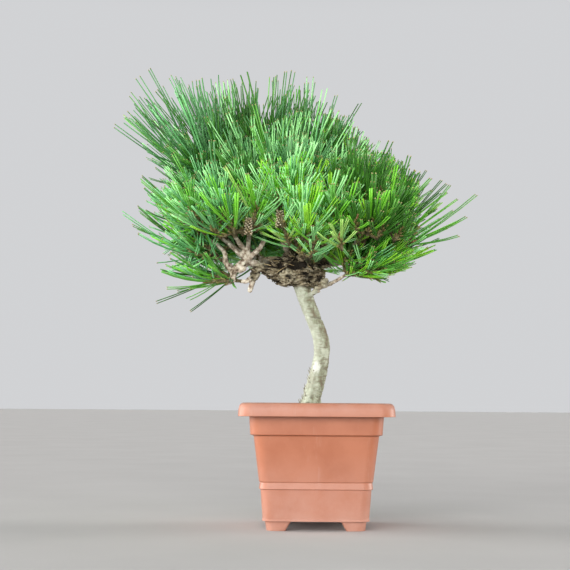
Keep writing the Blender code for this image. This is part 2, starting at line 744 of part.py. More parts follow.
def centre_on_table(objects):
    """Moves the meshes so that the origin is under the middle of the whole plant."""
    points = [vert.co for obj in objects for vert in obj.data.vertices]
    lowest = [min(point[axis] for point in points) for axis in range(3)]
    highest = [max(point[axis] for point in points) for axis in range(3)]
    middle = Vector((lowest[0] + highest[0], lowest[1] + highest[1], 2 * lowest[2])) / 2
    for obj in objects:
        obj.data.transform(Matrix.Translation(-middle))
    print("plant, mm:", [round((high - low) / MM, 1) for low, high in zip(lowest, highest)])
    print("pot's middle, mm:", [round(-value / MM, 2) for value in middle])


def main():
    for obj in list(bpy.data.objects):
        bpy.data.objects.remove(obj)
    scene = bpy.context.scene
    parts = bpy.data.collections.new("black_pine_bonsai")
    cutters = bpy.data.collections.new("cutters")
    scene.collection.children.link(parts)
    scene.collection.children.link(cutters)

    plastic = material("terracotta_plastic", (0.68, 0.27, 0.16), 0.55)
    earth = material("soil", (0.08, 0.055, 0.035), 0.95)
    bark = material("trunk_bark", (0.42, 0.38, 0.28), 0.85)
    young_bark = material("bough_bark", (0.36, 0.25, 0.17), 0.85)
    needle_green = material("needle_green", (0.06, 0.22, 0.06), 0.5)

    objects = [make_pot(parts, plastic), make_soil(parts, earth)]
    trunk = make_trunk_solid("trunk", parts, bark)
    shade(trunk)
    objects.append(trunk)
    for name in LIMBS:
        objects.append(make_limb(name, parts, cutters, young_bark))
    limbs = limb_runs()
    wood = {mass: wood_of(mass) for mass in MASSES}
    placed = []
    for mass in MASSES:
        others = [run for other in MASSES if other != mass for run in wood[other]]
        body, needles = make_mass(mass, parts, limbs + others + placed, needle_green)
        objects.append(body)
        placed += needles
    print("needles:", len(placed))
    centre_on_table(objects)
    for obj in objects:
        obj.data.calc_loop_triangles()
        print(obj.name, len(obj.data.loop_triangles))


main()
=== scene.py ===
# %% [markdown]
# # A small black pine in its square pot
#
# This lesson dresses the plain solids of a potted bonsai: a square plastic pot, a bare
# leaning trunk with a swollen rough head, and a wide crown of long stiff needles. The solids
# give every place and size. Here each one gets its real surface: moulded plastic, gritty
# soil, flaky bark with relief, knobbly twigs, and thousands of needles in pairs.

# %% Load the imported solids
import math
import random

import bmesh
import bpy
import numpy as np
from mathutils import Matrix, Quaternion, Vector
from mathutils.bvhtree import BVHTree
from mathutils.noise import noise


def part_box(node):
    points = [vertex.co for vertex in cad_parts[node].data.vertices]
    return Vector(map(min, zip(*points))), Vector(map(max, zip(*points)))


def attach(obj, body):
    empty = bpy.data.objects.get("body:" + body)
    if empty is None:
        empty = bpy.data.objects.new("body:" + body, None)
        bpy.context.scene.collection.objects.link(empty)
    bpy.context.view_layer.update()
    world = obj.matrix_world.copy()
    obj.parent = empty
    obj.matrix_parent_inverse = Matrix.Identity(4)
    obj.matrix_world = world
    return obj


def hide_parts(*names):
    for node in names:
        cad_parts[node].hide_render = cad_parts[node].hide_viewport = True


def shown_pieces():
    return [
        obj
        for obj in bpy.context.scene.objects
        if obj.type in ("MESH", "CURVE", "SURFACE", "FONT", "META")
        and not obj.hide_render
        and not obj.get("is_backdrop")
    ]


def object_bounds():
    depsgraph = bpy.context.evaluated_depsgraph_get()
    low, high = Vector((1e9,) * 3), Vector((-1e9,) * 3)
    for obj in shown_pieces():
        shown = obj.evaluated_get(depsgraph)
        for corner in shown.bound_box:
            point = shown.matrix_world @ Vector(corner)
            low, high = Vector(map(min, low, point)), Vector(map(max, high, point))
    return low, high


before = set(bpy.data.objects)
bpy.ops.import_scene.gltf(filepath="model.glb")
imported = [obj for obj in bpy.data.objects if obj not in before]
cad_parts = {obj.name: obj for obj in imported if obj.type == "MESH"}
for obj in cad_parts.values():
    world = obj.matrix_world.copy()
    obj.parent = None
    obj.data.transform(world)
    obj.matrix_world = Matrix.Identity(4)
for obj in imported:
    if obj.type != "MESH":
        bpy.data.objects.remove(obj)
solids_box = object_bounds()
MM = 0.001
UP = Vector((0, 0, 1))
pot_low, pot_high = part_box("pot")
POT_MIDDLE = Vector(((pot_low.x + pot_high.x) / 2, (pot_low.y + pot_high.y) / 2, 0))
print("solids:", len(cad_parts), "pot's middle:", POT_MIDDLE)

# %% [markdown]
# ## Camera
#
# The plant was photographed from a little above the middle of the pot, about a metre and a
# quarter away, with the lens turned slightly upwards. A long lens from that distance keeps
# the pot's sides nearly parallel. The place is worked out in millimetres from the pot's
# middle, so the camera follows the pot if the solids ever move.

# %% The camera
CAMERA_PLACE = (-31.1, -1264.0, 123.4)
LOOKS_UP = math.radians(5.26)
LEANS = math.radians(0.4)
LENS = 79.58
SENSOR_WIDTH = 36

camera_data = bpy.data.cameras.new("camera")
camera_data.lens = LENS
camera_data.sensor_width = SENSOR_WIDTH
camera = bpy.data.objects.new("camera", camera_data)
bpy.context.scene.collection.objects.link(camera)
tilt = Matrix.Rotation(math.pi / 2 + LOOKS_UP, 4, "X") @ Matrix.Rotation(LEANS, 4, "Z")
camera.matrix_world = Matrix.Translation(POT_MIDDLE + Vector(CAMERA_PLACE) * MM) @ tilt
bpy.context.scene.camera = camera
print("camera at", camera.location)

# %% [markdown]
# ## Helpers for node materials
#
# Every finish here is a Principled shader with a few pattern nodes in front of it. Small
# helpers keep each material down to what makes it look like itself: they add a node and
# wire its inputs, blend two colours, spread a pattern over a ramp, and give speckles and
# fine relief.

# %% Add, blend, ramp and speckle
def add_node(material, kind, inputs=(), **settings):
    """Adds a node: settings are its own properties, inputs are values or other nodes' outputs."""
    made = material.node_tree.nodes.new(kind)
    for name, value in settings.items():
        setattr(made, name, value)
    for name, value in dict(inputs).items():
        if isinstance(value, bpy.types.NodeSocket):
            material.node_tree.links.new(value, made.inputs[name])
        else:
            made.inputs[name].default_value = value
    return made


def new_material(name, roughness, specular=0.5):
    material = bpy.data.materials.new(name)
    material.use_nodes = True
    shader = material.node_tree.nodes["Principled BSDF"]
    shader.inputs["Roughness"].default_value = roughness
    shader.inputs["Specular IOR Level"].default_value = specular
    return material, shader


def blend(material, share, first, second, kind="MIX"):
    """The first colour where share is 0 and the second where it is 1."""
    mix = add_node(material, "ShaderNodeMix", data_type="RGBA", blend_type=kind)
    for place, value in ((0, share), (6, first), (7, second)):
        if isinstance(value, bpy.types.NodeSocket):
            material.node_tree.links.new(value, mix.inputs[place])
        elif place:
            mix.inputs[place].default_value = (*value, 1)
        else:
            mix.inputs[place].default_value = value
    return mix.outputs[2]


def ramp(material, value, *stops):
    """Turns a pattern's value into a colour: each stop is a place from 0 to 1 and a colour."""
    made = add_node(material, "ShaderNodeValToRGB", {"Fac": value})
    stops = [(place, colour if isinstance(colour, tuple) else (colour,) * 3) for place, colour in stops]
    made.color_ramp.elements[0].position = stops[0][0]
    made.color_ramp.elements[0].color = (*stops[0][1], 1)
    made.color_ramp.elements[1].position = stops[-1][0]
    made.color_ramp.elements[1].color = (*stops[-1][1], 1)
    for place, colour in stops[1:-1]:
        made.color_ramp.elements.new(place).color = (*colour, 1)
    return made.outputs["Color"]


def object_place(material, stretch=(1, 1, 1)):
    """The point's own place on the piece, squeezed along some axes."""
    place = add_node(material, "ShaderNodeTexCoord").outputs["Object"]
    return add_node(material, "ShaderNodeMapping", {"Vector": place, "Scale": stretch}).outputs["Vector"]


def speckle(material, place, scale, detail=3, roughness=0.5):
    inputs = {"Vector": place, "Scale": scale, "Detail": detail, "Roughness": roughness}
    return add_node(material, "ShaderNodeTexNoise", inputs).outputs["Fac"]


def roughen(material, shader, height, distance, strength=1.0):
    """Small relief from a pattern's value; distance is its depth in metres."""
    inputs = {"Height": height, "Distance": distance, "Strength": strength}
    bump = add_node(material, "ShaderNodeBump", inputs)
    material.node_tree.links.new(bump.outputs["Normal"], shader.inputs["Normal"])


def colour_from(material, shader, colour):
    material.node_tree.links.new(colour, shader.inputs["Base Color"])


def value_from(material, value, low, high):
    """A pattern's value brought into a range, for a roughness."""
    inputs = {"Value": value, "To Min": low, "To Max": high}
    return add_node(material, "ShaderNodeMapRange", inputs).outputs["Result"]


# %% A helper for pieces
def make_piece(name, bm, material, replaced=(), sharp=40):
    """Turns a bmesh into a piece that stands for some of the solids."""
    mesh = bpy.data.meshes.new(name)
    bm.to_mesh(mesh)
    bm.free()
    mesh.materials.append(material)
    mesh.shade_smooth()
    mesh.set_sharp_from_angle(angle=math.radians(sharp))
    obj = bpy.data.objects.new(name, mesh)
    bpy.context.scene.collection.objects.link(obj)
    place_piece(obj, replaced)
    return obj


def place_piece(obj, replaced=()):
    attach(obj, "root")
    if replaced:
        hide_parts(*replaced)
    print(obj.name, "faces:", len(obj.data.polygons))


# %% [markdown]
# ## The floor and the light
#
# The pine stands on a plain pale floor. Four sun lamps light it, and their wide angles keep
# every shadow soft. A strong and very wide one shines level from the front. Two low ones
# just behind the plant's plane graze its sides, the left one harder, so the needles shine
# against each other and the pot's round corners show. A weak one high on the left stands
# for a window. The world is pale with a darker ceiling, so the crown keeps its depth.

# %% Floor, lamps and world
FLOOR_SIZE = 30.0
FLOOR_DARK = (0.50, 0.495, 0.49)
FLOOR_LIGHT = (0.53, 0.525, 0.52)
# Each lamp's place in metres from the pot, its angle in degrees, its power and its colour.
LAMPS = {
    "window_left": ((-2.0, -2.2, 1.3), 40, 0.9, (1.0, 0.98, 0.95)),
    "edge_left": ((-2.4, 0.30, 0.25), 46, 4.6, (1.0, 0.99, 0.97)),
    "edge_right": ((2.4, 0.45, 0.25), 30, 3.0, (1.0, 0.95, 0.90)),
    "front_soft": ((-0.6, -2.9, 0.2), 60, 4.4, (1.0, 0.99, 0.97)),
}
WORLD_COLOUR = (0.83, 0.84, 0.86)
WORLD_STRENGTH = 0.77
CEILING = 0.35

floor_material, floor_shader = new_material("pale_floor", 1.0, 0.0)
floor_place = object_place(floor_material)
floor_grain = speckle(floor_material, floor_place, 6)
floor_colour = ramp(floor_material, floor_grain, (0.3, FLOOR_DARK), (0.7, FLOOR_LIGHT))
colour_from(floor_material, floor_shader, floor_colour)

bm = bmesh.new()
bmesh.ops.create_grid(bm, x_segments=1, y_segments=1, size=FLOOR_SIZE / 2)
floor_mesh = bpy.data.meshes.new("floor")
bm.to_mesh(floor_mesh)
bm.free()
floor_mesh.materials.append(floor_material)
floor = bpy.data.objects.new("floor", floor_mesh)
bpy.context.scene.collection.objects.link(floor)
floor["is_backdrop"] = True

for name, (place, width, power, colour) in LAMPS.items():
    lamp_data = bpy.data.lights.new(name, "SUN")
    lamp_data.angle = math.radians(width)
    lamp_data.energy = power
    lamp_data.color = colour
    lamp = bpy.data.objects.new(name, lamp_data)
    bpy.context.scene.collection.objects.link(lamp)
    lamp.location = POT_MIDDLE + Vector(place)
    lamp.rotation_euler = (-Vector(place)).to_track_quat("-Z", "Y").to_euler()

world = bpy.data.worlds.new("studio")
bpy.context.scene.world = world
world.use_nodes = True
backdrop = world.node_tree.nodes["Background"]
backdrop.inputs["Strength"].default_value = WORLD_STRENGTH
direction = add_node(world, "ShaderNodeTexCoord").outputs["Generated"]
height = add_node(world, "ShaderNodeSeparateXYZ", {"Vector": direction}).outputs["Z"]
ceiling_colour = tuple(CEILING * part for part in WORLD_COLOUR)
studio_colour = ramp(world, height, (0.30, WORLD_COLOUR), (0.75, ceiling_colour))
world.node_tree.links.new(studio_colour, backdrop.inputs["Color"])
bpy.context.scene.view_settings.view_transform = "Standard"
print("lamps:", len(LAMPS))

# %% [markdown]
# ## The pot
#
# The pot is a moulded square of thin plastic: a hollow lip that hangs over, a collar, a long
# taper with a double line a third of the way up, and four corner feet. It could be lathed
# if it were round. A square one is drawn the same way, ring by ring: one rounded square
# face has its rim extruded up the outside, over the lip and down the inside, and each new
# ring is scaled to the width that the real pot has at that height.

# %% The pot's sizes, in millimetres
POT_HEIGHT = 121.6
LIP_HEIGHT = 12.8
LIP_WIDTH_TOP = 145.0
LIP_WIDTH_BOTTOM = 150.0
LIP_EDGE = 2.6
COLLAR_BOTTOM = 91.4
COLLAR_WIDTH_TOP = 129.2
COLLAR_WIDTH_BOTTOM = 126.5
COLLAR_SLOPE = 1.2
BODY_WIDTH_TOP = 120.4
GROOVE_UPPER = 46.4
GROOVE_LOWER = 39.3
GROOVE_DEPTH = 0.8
GROOVE_SLOPE = 0.4
BODY_WIDTH_GROOVE = 109.6
BODY_STEP = 3.0
BODY_WIDTH_BOTTOM = 102.1
BEAD_HEIGHT = 1.6
BEAD_STEP = 1.2
FOOT_HEIGHT = 9.2
FEET_WIDTH_TOP = 98.0
FEET_WIDTH_BOTTOM = 95.0
FOOT_SIDE_TOP = 26.0
FOOT_SIDE_BOTTOM = 18.5
FOOT_OUTER_CORNER = 9.0
FOOT_INNER_CORNER = 2.5
FOOT_STEPS = 5
POT_WALL = 2.2
SKIRT_STEP = 4.0
SMALL_STEP = 1.0
POT_CORNER = 12.0
CORNER_STEPS = 10
EDGE_ROUND = 0.55


def body_width(z):
    """Outer width of the body at a height: two straight tapers that meet at the double line."""
    if z < GROOVE_LOWER:
        share = (z - FOOT_HEIGHT) / (GROOVE_LOWER - FOOT_HEIGHT)
        return BODY_WIDTH_BOTTOM + share * (BODY_WIDTH_GROOVE - BODY_STEP - BODY_WIDTH_BOTTOM)
    share = (z - GROOVE_UPPER) / (COLLAR_BOTTOM - GROOVE_UPPER)
    return BODY_WIDTH_GROOVE + share * (BODY_WIDTH_TOP - BODY_WIDTH_GROOVE)


def inner_width(z):
    return body_width(z) - 2 * POT_WALL


# %% The wall's rings: width and height
lip_bottom = POT_HEIGHT - LIP_HEIGHT
bead_top = FOOT_HEIGHT + BEAD_HEIGHT
skirt = LIP_WIDTH_BOTTOM - 2 * POT_WALL
mouth = COLLAR_WIDTH_TOP - 2 * POT_WALL
POT_RINGS = [
    (BODY_WIDTH_BOTTOM + BEAD_STEP, FOOT_HEIGHT),
    (BODY_WIDTH_BOTTOM + BEAD_STEP, bead_top),
    (body_width(bead_top), bead_top + GROOVE_SLOPE),
    (body_width(GROOVE_LOWER - 0.1), GROOVE_LOWER),
    (body_width(GROOVE_LOWER) + 2 * GROOVE_DEPTH, GROOVE_LOWER + GROOVE_SLOPE),
    (body_width(GROOVE_UPPER) - 2 * GROOVE_DEPTH, GROOVE_UPPER - GROOVE_SLOPE),
    (body_width(GROOVE_UPPER), GROOVE_UPPER + GROOVE_SLOPE),
    (BODY_WIDTH_TOP, COLLAR_BOTTOM - COLLAR_SLOPE),
    (COLLAR_WIDTH_BOTTOM, COLLAR_BOTTOM),
    (COLLAR_WIDTH_TOP, lip_bottom + SMALL_STEP),
    (COLLAR_WIDTH_TOP + SMALL_STEP, POT_HEIGHT - POT_WALL),
    (skirt - SKIRT_STEP, POT_HEIGHT - POT_WALL),
    (skirt, lip_bottom),
    (LIP_WIDTH_BOTTOM, lip_bottom),
    (LIP_WIDTH_BOTTOM - 0.3 * LIP_EDGE, POT_HEIGHT - 2.4 * LIP_EDGE),
    (LIP_WIDTH_TOP + 0.9 * LIP_EDGE, POT_HEIGHT - LIP_EDGE),
    (LIP_WIDTH_TOP, POT_HEIGHT - 0.35 * LIP_EDGE),
    (LIP_WIDTH_TOP - 1.6 * LIP_EDGE, POT_HEIGHT),
    (mouth, POT_HEIGHT),
    (mouth - SMALL_STEP, POT_HEIGHT - POT_WALL),
    (COLLAR_WIDTH_BOTTOM - 2 * POT_WALL, COLLAR_BOTTOM + POT_WALL),
    (inner_width(COLLAR_BOTTOM), COLLAR_BOTTOM),
    (inner_width(GROOVE_UPPER), GROOVE_UPPER),
    (inner_width(GROOVE_LOWER - SMALL_STEP), GROOVE_LOWER - SMALL_STEP),
    (inner_width(FOOT_HEIGHT + POT_WALL), FOOT_HEIGHT + POT_WALL),
]
print("pot rings:", len(POT_RINGS))


# %% Raise a wall ring by ring
def rounded_square(bm, width, z):
    """One flat face with round corners, which the rings are then drawn up from."""
    bmesh.ops.create_grid(bm, x_segments=1, y_segments=1, size=width / 2)
    bmesh.ops.bevel(
        bm, geom=bm.verts[:], offset=POT_CORNER * width / BODY_WIDTH_TOP, offset_type="OFFSET",
        affect="VERTICES", segments=CORNER_STEPS, profile=0.5, material=-1,
    )
    bmesh.ops.translate(bm, verts=bm.verts, vec=(0, 0, z))


def raise_rings(bm, rings):
    """Extrudes the outline through every ring in turn and closes the last one."""
    width, z = rings[0]
    edges = bm.edges[:]
    for next_width, next_z in rings[1:]:
        grown = bmesh.ops.extrude_edge_only(bm, edges=edges)["geom"]
        verts = [part for part in grown if isinstance(part, bmesh.types.BMVert)]
        fresh = set(verts)
        edges = [part for part in grown if isinstance(part, bmesh.types.BMEdge) and set(part.verts) <= fresh]
        share = next_width / width
        bmesh.ops.scale(bm, vec=(share, share, 1), verts=verts)
        bmesh.ops.translate(bm, vec=(0, 0, next_z - z), verts=verts)
        width, z = next_width, next_z
    bmesh.ops.contextual_create(bm, geom=edges)


def to_pot(bm):
    """From millimetres about the pot's middle to the frame's metres."""
    matrix = Matrix.Translation(POT_MIDDLE) @ Matrix.Scale(MM, 4)
    bmesh.ops.transform(bm, matrix=matrix, verts=bm.verts)


# %% One foot, and the whole pot
def add_foot(bm, quarter):
    """A short block that narrows downwards, slanted on its inner sides and round outside."""
    foot = bmesh.ops.create_cube(bm, size=1)["verts"]
    for vert in foot:
        top = vert.co.z > 0
        outer = (FEET_WIDTH_TOP if top else FEET_WIDTH_BOTTOM) / 2
        side = FOOT_SIDE_TOP if top else FOOT_SIDE_BOTTOM
        vert.co.x = outer if vert.co.x > 0 else outer - side
        vert.co.y = outer if vert.co.y > 0 else outer - side
        vert.co.z = FOOT_HEIGHT + POT_WALL / 2 if top else 0
    around = dict.fromkeys(edge for vert in foot for edge in vert.link_edges)
    upright = [edge for edge in around if abs(edge.verts[0].co.z - edge.verts[1].co.z) > 1]
    outside = max(upright, key=lambda edge: edge.verts[0].co.x + edge.verts[0].co.y)
    inside = [edge for edge in upright if edge is not outside]
    before = set(bm.verts) - set(foot)
    for edges, radius in (([outside], FOOT_OUTER_CORNER), (inside, FOOT_INNER_CORNER)):
        bmesh.ops.bevel(
            bm, geom=edges, offset=radius, offset_type="OFFSET", affect="EDGES",
            segments=FOOT_STEPS, profile=0.5, material=-1,
        )
    turn = Matrix.Rotation(quarter * math.pi / 2, 3, "Z")
    bmesh.ops.rotate(bm, verts=[vert for vert in bm.verts if vert not in before], matrix=turn)


bm = bmesh.new()
rounded_square(bm, *POT_RINGS[0])
raise_rings(bm, POT_RINGS)
for quarter in range(4):
    add_foot(bm, quarter)
bmesh.ops.recalc_face_normals(bm, faces=bm.faces)
to_pot(bm)

# %% [markdown]
# ## The pot's plastic
#
# The plastic is a matte terracotta orange, moulded in one colour. Years outdoors have left
# it slightly mottled, paler and dusty pink towards the bottom, with faint smears. The lip's
# top is paler too, partly dust and partly a painted highlight. A slow noise gives the
# mottling, the height gives the dust and the painted highlight, and a very fine grain gives
# the soft matte skin that moulded plastic has.

# %% Terracotta plastic
PLASTIC = (0.425, 0.150, 0.078)
PLASTIC_DEEP = (0.365, 0.118, 0.056)
PLASTIC_DUST_AND_HIGHLIGHT = (0.50, 0.295, 0.24)
# Heights in metres between which the dust on the foot fades out and the pale band on the lip sets in, which
# is partly dust and partly a painted highlight.
LOW_DUST = (0.075, 0.0)
LIP_DUST_AND_HIGHLIGHT = (0.106, 0.123)

plastic, shader = new_material("terracotta_plastic", 0.5, 0.5)
place = object_place(plastic)
clouds = speckle(plastic, place, 28, 4, 0.6)
mottled = ramp(plastic, clouds, (0.30, PLASTIC_DEEP), (0.62, PLASTIC))
height = add_node(plastic, "ShaderNodeSeparateXYZ", {"Vector": place}).outputs["Z"]
dust_and_highlight_clouds = speckle(plastic, place, 60, 5, 0.65)
low_share, lip_share = (
    add_node(plastic, "ShaderNodeMapRange", {"Value": height, "From Min": start, "From Max": end})
    for start, end in (LOW_DUST, LIP_DUST_AND_HIGHLIGHT)
)
either = {0: low_share.outputs["Result"], 1: lip_share.outputs["Result"]}
low_or_lip = add_node(plastic, "ShaderNodeMath", either, operation="MAXIMUM").outputs[0]
# The lip's pale band is partly dust and partly a painted highlight on the lip's top.
dust_and_highlight = add_node(plastic, "ShaderNodeMath", {0: low_or_lip, 1: dust_and_highlight_clouds}, operation="MULTIPLY").outputs[0]
dusted_and_highlighted = blend(plastic, dust_and_highlight, mottled, PLASTIC_DUST_AND_HIGHLIGHT)
smears = speckle(plastic, object_place(plastic, (1, 1, 0.15)), 90, 4, 0.7)
smear_share = ramp(plastic, smears, (0.60, 0.0), (0.80, 0.35))
colour_from(plastic, shader, blend(plastic, smear_share, dusted_and_highlighted, PLASTIC_DUST_AND_HIGHLIGHT))
plastic.node_tree.links.new(value_from(plastic, clouds, 0.36, 0.52), shader.inputs["Roughness"])
grain = speckle(plastic, place, 1400, 2, 0.6)
roughen(plastic, shader, grain, 0.00006)

pot = make_piece("pot_shell", bm, plastic, ["pot"], sharp=35)
rounding = pot.modifiers.new("moulded_edges", "BEVEL")
rounding.width = EDGE_ROUND * MM
rounding.segments = 2
rounding.limit_method = "ANGLE"
rounding.angle_limit = math.radians(28)

# %% [markdown]
# ## The soil
#
# The photograph looks at the pot from below its rim, so the soil is finished like what such
# pots hold: dark earth that slopes up to the trunk's foot, covered in grit of three kinds.
# The bed is raised ring by ring like the pot. The grit is thousands of small stones, so
# they are made as arrays: a few knobbly stones, each copied, turned and scaled many times.

# %% The soil bed
GROUND = 116.5
SOIL_EDGE = 110.0
SEAT_RADIUS = 19.0
SOIL_GAP = 0.6
BED_GAP = 0.3
BED_STEPS = 14
BED_LUMPS = 0.9
TRUNK_FOOT_X = -4.4

collar_width = COLLAR_WIDTH_BOTTOM - 2 * POT_WALL - SOIL_GAP
bed_floor = FOOT_HEIGHT + POT_WALL + BED_GAP
bed_heights = (bed_floor, GROOVE_LOWER - SMALL_STEP, GROOVE_UPPER, COLLAR_BOTTOM)
bed_rings = [(inner_width(z) - SOIL_GAP, z) for z in bed_heights]
bed_rings += [(collar_width, COLLAR_BOTTOM + POT_WALL + BED_GAP), (collar_width, SOIL_EDGE)]
for step in range(1, BED_STEPS + 1):
    share = step / BED_STEPS
    rise = (GROUND - BED_GAP - SOIL_EDGE) * math.sin(share * math.pi / 2)
    bed_rings.append((collar_width + share * (2 * SEAT_RADIUS - collar_width), SOIL_EDGE + rise))

bm = bmesh.new()
rounded_square(bm, *bed_rings[0])
raise_rings(bm, bed_rings)
for vert in bm.verts:
    if vert.co.z > SOIL_EDGE - 0.1:
        reach = 1 - max(abs(vert.co.x), abs(vert.co.y)) / (collar_width / 2)
        vert.co.x += TRUNK_FOOT_X * reach
        vert.co.z += BED_LUMPS * noise(vert.co * 0.16) * min(1, 6 * reach)
bmesh.ops.recalc_face_normals(bm, faces=bm.faces)
to_pot(bm)
bed_surface = BVHTree.FromBMesh(bm)

# %% Earth and grit materials
EARTH = ((0.022, 0.014, 0.009), (0.075, 0.050, 0.032))
GRIT_KINDS = {
    "grit_dark": ((0.045, 0.032, 0.024), (0.11, 0.08, 0.06), 1700),
    "grit_tan": ((0.16, 0.10, 0.055), (0.30, 0.20, 0.12), 1200),
    "grit_grey": ((0.17, 0.165, 0.155), (0.36, 0.35, 0.32), 500),
}


def stone_material(name, dark, light):
    material, shader = new_material(name, 0.9, 0.3)
    spots = speckle(material, object_place(material), 420, 4, 0.65)
    colour_from(material, shader, ramp(material, spots, (0.32, dark), (0.68, light)))
    roughen(material, shader, spots, 0.0003)
    return material


make_piece("soil_bed", bm, stone_material("earth", *EARTH), ["soil"])


# %% Many small shapes at once
def array_piece(name, batches, material, replaced=(), smooth=True):
    """One mesh of many copies: each batch has points as copies by points by 3, and triangles."""
    points, faces, start = [], [], 0
    for batch_points, batch_faces in batches:
        copies, count = batch_points.shape[:2]
        shifts = start + np.arange(copies)[:, None, None] * count
        faces.append((batch_faces[None] + shifts).reshape(-1, 3))
        points.append(batch_points.reshape(-1, 3))
        start += copies * count
    points = np.concatenate(points) * MM + np.array(POT_MIDDLE)
    faces = np.concatenate(faces)
    mesh = bpy.data.meshes.new(name)
    mesh.vertices.add(len(points))
    mesh.vertices.foreach_set("co", points.astype(np.float32).ravel())
    mesh.loops.add(len(faces) * 3)
    mesh.loops.foreach_set("vertex_index", faces.astype(np.int32).ravel())
    mesh.polygons.add(len(faces))
    mesh.polygons.foreach_set("loop_start", np.arange(0, len(faces) * 3, 3, dtype=np.int32))
    mesh.update(calc_edges=True)
    mesh.validate()
    if smooth:
        mesh.shade_smooth()
    mesh.materials.append(material)
    obj = bpy.data.objects.new(name, mesh)
    bpy.context.scene.collection.objects.link(obj)
    place_piece(obj, replaced)
    return obj


# %% Scatter the grit
STONE_SIZE = (0.9, 2.3)
STONE_SHAPES = 6
STONE_KNOBS = 0.28
STONE_SQUASH = (1, 0.85, 0.7)
STONE_SUNK = (0.1, 0.6)
BIG_STONE_SHARE = 0.15
BIG_STONE_SIZE = 1.25
CORNER_CLEAR = 9
TRUNK_CLEAR = 12
DROP_HEIGHT = 200


def stone_shape(seed):
    """One knobbly stone of twenty faces, about 1 across its radius."""
    bm = bmesh.new()
    bmesh.ops.create_icosphere(bm, subdivisions=1, radius=1)
    for vert in bm.verts:
        vert.co *= 1 + STONE_KNOBS * noise(vert.co * 1.3 + Vector((seed * 5, 0, 0)))
    bmesh.ops.scale(bm, vec=STONE_SQUASH, verts=bm.verts)
    points = np.array([vert.co for vert in bm.verts])
    faces = np.array([[vert.index for vert in face.verts] for face in bm.faces])
    bm.free()
    return points, faces


def scatter_stones(name, dark, light, count):
    rng = random.Random(name)
    places = {shape: [] for shape in range(STONE_SHAPES)}
    half = collar_width / 2
    while count:
        x, y = rng.uniform(-half, half), rng.uniform(-half, half)
        in_corner = abs(x) + abs(y) > 2 * half - CORNER_CLEAR
        if in_corner or math.hypot(x - TRUNK_FOOT_X, y) < TRUNK_CLEAR:
            continue
        hit = bed_surface.ray_cast(POT_MIDDLE + Vector((x, y, DROP_HEIGHT)) * MM, -UP)[0]
        size = rng.uniform(*STONE_SIZE) * (BIG_STONE_SIZE if rng.random() < BIG_STONE_SHARE else 1)
        if hit is None or max(abs(x), abs(y)) + size > half:
            continue
        height = (hit - POT_MIDDLE).z / MM + size * rng.uniform(*STONE_SUNK)
        turn = Quaternion([rng.gauss(0, 1) for part in range(4)]).normalized()
        places[rng.randrange(STONE_SHAPES)].append((x, y, height, size, turn))
        count -= 1
    batches = []
    for shape, stones in places.items():
        points, faces = stone_shape(shape)
        turns = np.array([np.array(turn.to_matrix()) for x, y, z, size, turn in stones])
        sizes = np.array([size for x, y, z, size, turn in stones])[:, None, None]
        middles = np.array([(x, y, z) for x, y, z, size, turn in stones])[:, None]
        batches.append((np.einsum("nij,pj->npi", turns, points) * sizes + middles, faces))
    array_piece(name, batches, stone_material(name, dark, light), smooth=False)


for name, (dark, light, count) in GRIT_KINDS.items():
    scatter_stones(name, dark, light, count)

# %% [markdown]
# ## How the tree grows
#
# The solids were grown by a rule from a few named sizes, and the same rule is written here
# again, so that every twig and needle starts on its limb. A limb is a smooth line from
# inside its parent to its tip, with a radius at each end. A mass of needles has a heart,
# a spread, a needle length and a side that it faces.

# %% The trunk's line with its radii, and the lumps of its head with their half sizes
TRUNK_LINE = [
    ((TRUNK_FOOT_X, 0, GROUND), 9.6),
    ((-3.4, 1, 126), 9.4),
    ((1.6, 2, 146), 8.8),
    ((5.8, 2, 166), 8.1),
    ((5.6, 1, 184), 8.1),
    ((-1.6, 0, 205), 7.8),
    ((-9.4, 0, 224), 7.8),
    ((-15.0, 0, 240), 8.2),
    ((-20.0, 1, 250), 8.6),
]
HEAD_LUMPS = [
    ((-22, 1, 252), (28, 19, 13)),
    ((-42, -3, 257), (14, 12, 11)),
    ((-2, 3, 249), (11, 11, 9)),
    ((-20, 4, 265), (15, 12, 9)),
    ((-30, -13, 247), (9, 8, 8)),
]

